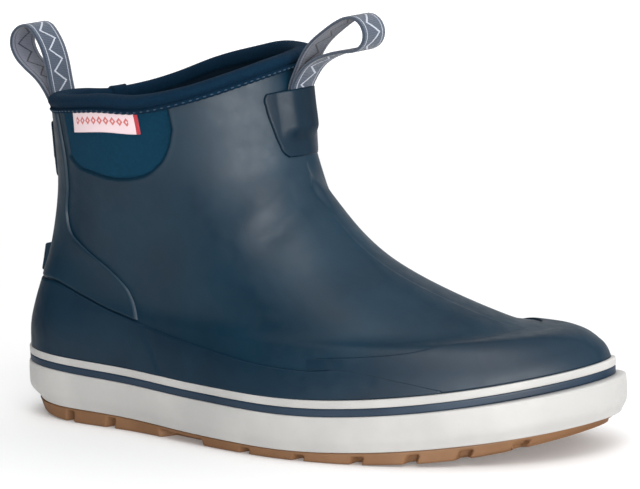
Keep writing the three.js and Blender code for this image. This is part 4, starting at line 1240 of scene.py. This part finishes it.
def pull_loop(name):
    """One strip of webbing: up from under the shield, round the loop and down under it again."""
    pull = PULLS[name]
    line = smooth_line(pull["line"], ROWS_ALONG)
    share = np.linspace(0, 1, ROWS_ALONG)
    near_base = (1 - smoothstep(share, 0, LEANS)) - smoothstep(share, 1 - LEANS, 1)
    line[:, 0] -= near_base * (WEBBING / 2 + 0.1)
    across = np.linspace(-1, 1, ROWS_ACROSS)
    hugging = 1 - smoothstep(np.minimum(share, 1 - share), 0, HUGS)
    sag = (across * LOOP_WIDTH / 2) ** 2 / HUGGING * pull["outwards"]
    strip = np.zeros((ROWS_ALONG, ROWS_ACROSS, 3))
    strip[..., 0] = line[:, :1] - sag[None, :] * hugging[:, None]
    strip[..., 1] = pull["y"] + across[None, :] * LOOP_WIDTH / 2
    strip[..., 2] = line[:, 1:] + TWIST * (np.sin(share * np.pi) ** 2)[:, None] * across[None, :]
    first, last = (0, 1) if pull["outwards"] > 0 else (1, 0)
    strip = np.concatenate([tail(pull, first), strip, tail(pull, last)[::-1]], 0)
    for _ in range(6):
        strip[1:-1] = strip[1:-1] * 0.5 + (strip[:-2] + strip[2:]) * 0.25
    return webbing_strip(f"{name}_webbing_loop", strip)


def tail(pull, step):
    """One end of the webbing, lying on the collar from its end under the shield up to the base."""
    level = np.linspace(*pull["tail"], TAIL_ROWS)[:, None]
    angles = pull["middle"] + np.linspace(-1, 1, ROWS_ACROSS)[None, :] * TAIL_HALF * pull["outwards"]
    away = pull["lies"] + WEBBING / 2 + step * (WEBBING + 0.05)
    return skin(*np.broadcast_arrays(angles, level), np.full((TAIL_ROWS, ROWS_ACROSS), away))


def webbing_strip(name, middle):
    """A strip of webbing round its middle surface, with an outer face, an inner face and edges."""
    along, across = np.gradient(middle, axis=0), np.gradient(middle, axis=1)
    normal = unit(np.cross(along, across))
    from_edge = np.minimum(*to_ends(middle, 1))
    edge = rounded(from_edge, SELVEDGE_EDGE["radius"])
    thick = WEBBING / 2 * (SELVEDGE_EDGE["edge"] + SELVEDGE_EDGE["swell"] * edge)
    rib = RIB["height"] * np.sin(arc_lengths(middle, 0) * 2 * np.pi / RIB["pitch"])
    rib = rib * (from_edge > RIB["from_edge"])
    outer = middle + normal * (thick + rib)[..., None]
    inner = middle - normal * (thick + rib)[..., None]
    cloth = cloth_over(middle)
    cloth[..., 1] -= cloth[:, -1:, 1] / 2
    columns, rows = middle.shape[:2]
    faces = (columns - 1) * (rows - 1)
    slots = [0] * faces + [1] * faces + [2] * (2 * (columns - 1) + 2 * (rows - 1))
    return solid(name, outer, inner, [WEBBING_OUTSIDE, WEBBING_INSIDE, WEBBING_EDGE], cloth=cloth,
                 slots=slots)


def hang_loop(name):
    """One pull loop, built in place as it hangs from the shield; the model's loop and tail are hidden."""
    piece = pull_loop(name)
    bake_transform(piece)
    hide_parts(f"{name}_pull_loop", f"{name}_loop_tail")
    return piece


SHIELD_OUT, SHIELD_RADIUS = 1.15, 0.9         # how far a shield stands above what it covers
SWOLLEN = (TAIL_HALF - 3, TAIL_HALF + 8.5)    # the swelling over the webbing dies out between these


def shield(name):
    """A moulded patch over the webbing's ends, with a swollen upper part and rounded edges."""
    pull = PULLS[name]
    across = np.linspace(-1, 1, 101)[:, None]
    level = (pull["levels"][0] + (pull["levels"][1] - pull["levels"][0]) * ends_spacing(110, 0.3))[None, :]
    level, across = np.broadcast_arrays(level, across)
    turned = across * pull["half"](level)
    angles = pull["middle"] + turned
    edge = rounded(from_edges(drawn(angles, level)), SHIELD_RADIUS)
    over_webbing = smoothstep(level, *pull["rise"]) * (1 - smoothstep(np.abs(turned), *SWOLLEN))
    rise = 2 * WEBBING + 0.15
    base = pull["lies"] - 0.15
    out = base + rise * over_webbing + SHIELD_OUT * edge + surface_relief(angles, level) * edge
    outer = skin(angles, level, out)
    inner = skin(angles, level, base - 0.3 + rise * over_webbing)
    piece = solid(f"{name}_loop_cover", outer, inner, NAVY_SHIELD)
    return ride(piece, "boot", "navy_rubber", f"{name}_loop_shield")


# ---------------------------------------------------------------- the boot

outsole()
foxing_sidewall()
stripe("navy_foxing_stripe", 6.95, 3.4, 1.0, NAVY_TAPE, "stripe_navy", "foxing_stripe_navy")
stripe("white_foxing_stripe", 3.5, 3.5, 0.9, WHITE_TAPE, "white_rubber", "foxing_stripe_white")
upper_shell()
mudguard()
toe_bumper()
backstay()
kick_tab()
for panel_side in ("lateral", "medial"):
    side_panel(panel_side)
sock()
collar_binding()
binding_stitches()
label()
for pull_name in PULLS:
    shield(pull_name)
hang_loop("front")
hang_loop("rear")
footbed_layer("footbed_foam_pad", 16.0, 20.1, 1.0, FOAM, "foam", "footbed_foam")
footbed_layer("footbed_top_cloth", 20.3, 21.3, 0.4, FOOTBED_KNIT, "sock_neoprene", "footbed_cover")

for node, material in (("midsole", FOAM), ("shank", STEEL), ("insole_board", BOARD),
                       ("heel_stiffener", STIFFENER), ("toe_puff", STIFFENER)):
    mesh = frame["nodes"][node].data
    mesh.materials.clear()
    mesh.materials.append(material)

# ---------------------------------------------------------------- floor, camera and light

VIEW = {"azimuth": 34.6, "elevation": 7.55, "distance": 989.0, "target": (184.3, -27.2, 89.0),
        "roll": -2.3, "lens": 129.07}


def camera():
    """A camera at the height of a table, from the outer side and a little in front."""
    azimuth, elevation = math.radians(VIEW["azimuth"]), math.radians(VIEW["elevation"])
    back = Vector((math.sin(azimuth) * math.cos(elevation), -math.cos(azimuth) * math.cos(elevation),
                   math.sin(elevation)))
    right = Vector((math.cos(azimuth), math.sin(azimuth), 0))
    up = back.cross(right)
    roll = math.radians(VIEW["roll"])
    side = right * math.cos(roll) + up * math.sin(roll)
    top = up * math.cos(roll) - right * math.sin(roll)
    data = bpy.data.cameras.new("camera")
    data.lens, data.sensor_width, data.sensor_fit = VIEW["lens"], 36.0, "HORIZONTAL"
    data.clip_start = 0.05
    obj = bpy.data.objects.new("camera", data)
    where = Vector(place(VIEW["target"])) + back * VIEW["distance"] * MM
    turn = np.eye(4)
    turn[:3, 0], turn[:3, 1], turn[:3, 2], turn[:3, 3] = side, top, back, where
    obj.matrix_world = Matrix(turn.tolist())
    bpy.context.scene.collection.objects.link(obj)
    bpy.context.scene.camera = obj


def floor():
    """A white sweep that glows a little more away from the boot, so that it stays white far off."""
    mesh = bpy.data.meshes.new("floor")
    half = 60.0
    corners = [(-half, -half, 0), (half, -half, 0), (half, half, 0), (-half, half, 0)]
    mesh.from_pydata(corners, [], [(0, 1, 2, 3)])
    n = Nodes("floor")
    away = n.add("ShaderNodeVectorMath", {0: n.where()}, "Value", operation="LENGTH")
    mesh.materials.append(n.finish(Base_Color=(0.84, 0.84, 0.84, 1), Roughness=0.7,
                                   Specular_IOR_Level=0.1, Emission_Color=(1, 1, 1, 1),
                                   Emission_Strength=n.ramp(away, 0.5, 5.0, 0.12, 0.55)))
    obj = bpy.data.objects.new("floor", mesh)
    bpy.context.scene.collection.objects.link(obj)


def area_light(name, where, size, power, aim=(0.0, 0.0, 0.06)):
    data = bpy.data.lights.new(name, "AREA")
    data.shape, data.size, data.size_y, data.energy = "RECTANGLE", size[0], size[1], power
    obj = bpy.data.objects.new(name, data)
    obj.location = where
    obj.rotation_euler = (Vector(aim) - Vector(where)).to_track_quat("-Z", "Y").to_euler()
    bpy.context.scene.collection.objects.link(obj)


def world(bright, dark, towards):
    """A studio that is bright behind and above the boot, and dim on the outer side of its heel."""
    scene_world = bpy.data.worlds.new("studio")
    scene_world.use_nodes = True
    tree = scene_world.node_tree
    direction = tree.nodes.new("ShaderNodeTexCoord")
    facing = tree.nodes.new("ShaderNodeVectorMath")
    facing.operation = "DOT_PRODUCT"
    facing.inputs[1].default_value = Vector(towards).normalized()
    level = tree.nodes.new("ShaderNodeMapRange")
    level.interpolation_type = "SMOOTHSTEP"
    for socket, value in zip(level.inputs[1:5], (-0.25, 0.35, dark, bright)):
        socket.default_value = value
    tree.links.new(direction.outputs["Generated"], facing.inputs[0])
    tree.links.new(facing.outputs["Value"], level.inputs[0])
    tree.links.new(level.outputs[0], tree.nodes["Background"].inputs["Strength"])
    tree.nodes["Background"].inputs["Color"].default_value = (1, 1, 1, 1)
    bpy.context.scene.world = scene_world


camera()
floor()
world(1.15, 0.01, (0.65, 0.4, 0.65))
area_light("key", (2.3, -1.8, 0.4), (3.4, 0.9), 76)
area_light("top", (0.5, -0.6, 1.35), (0.7, 0.7), 6)
bpy.context.scene.view_settings.view_transform = "Standard"
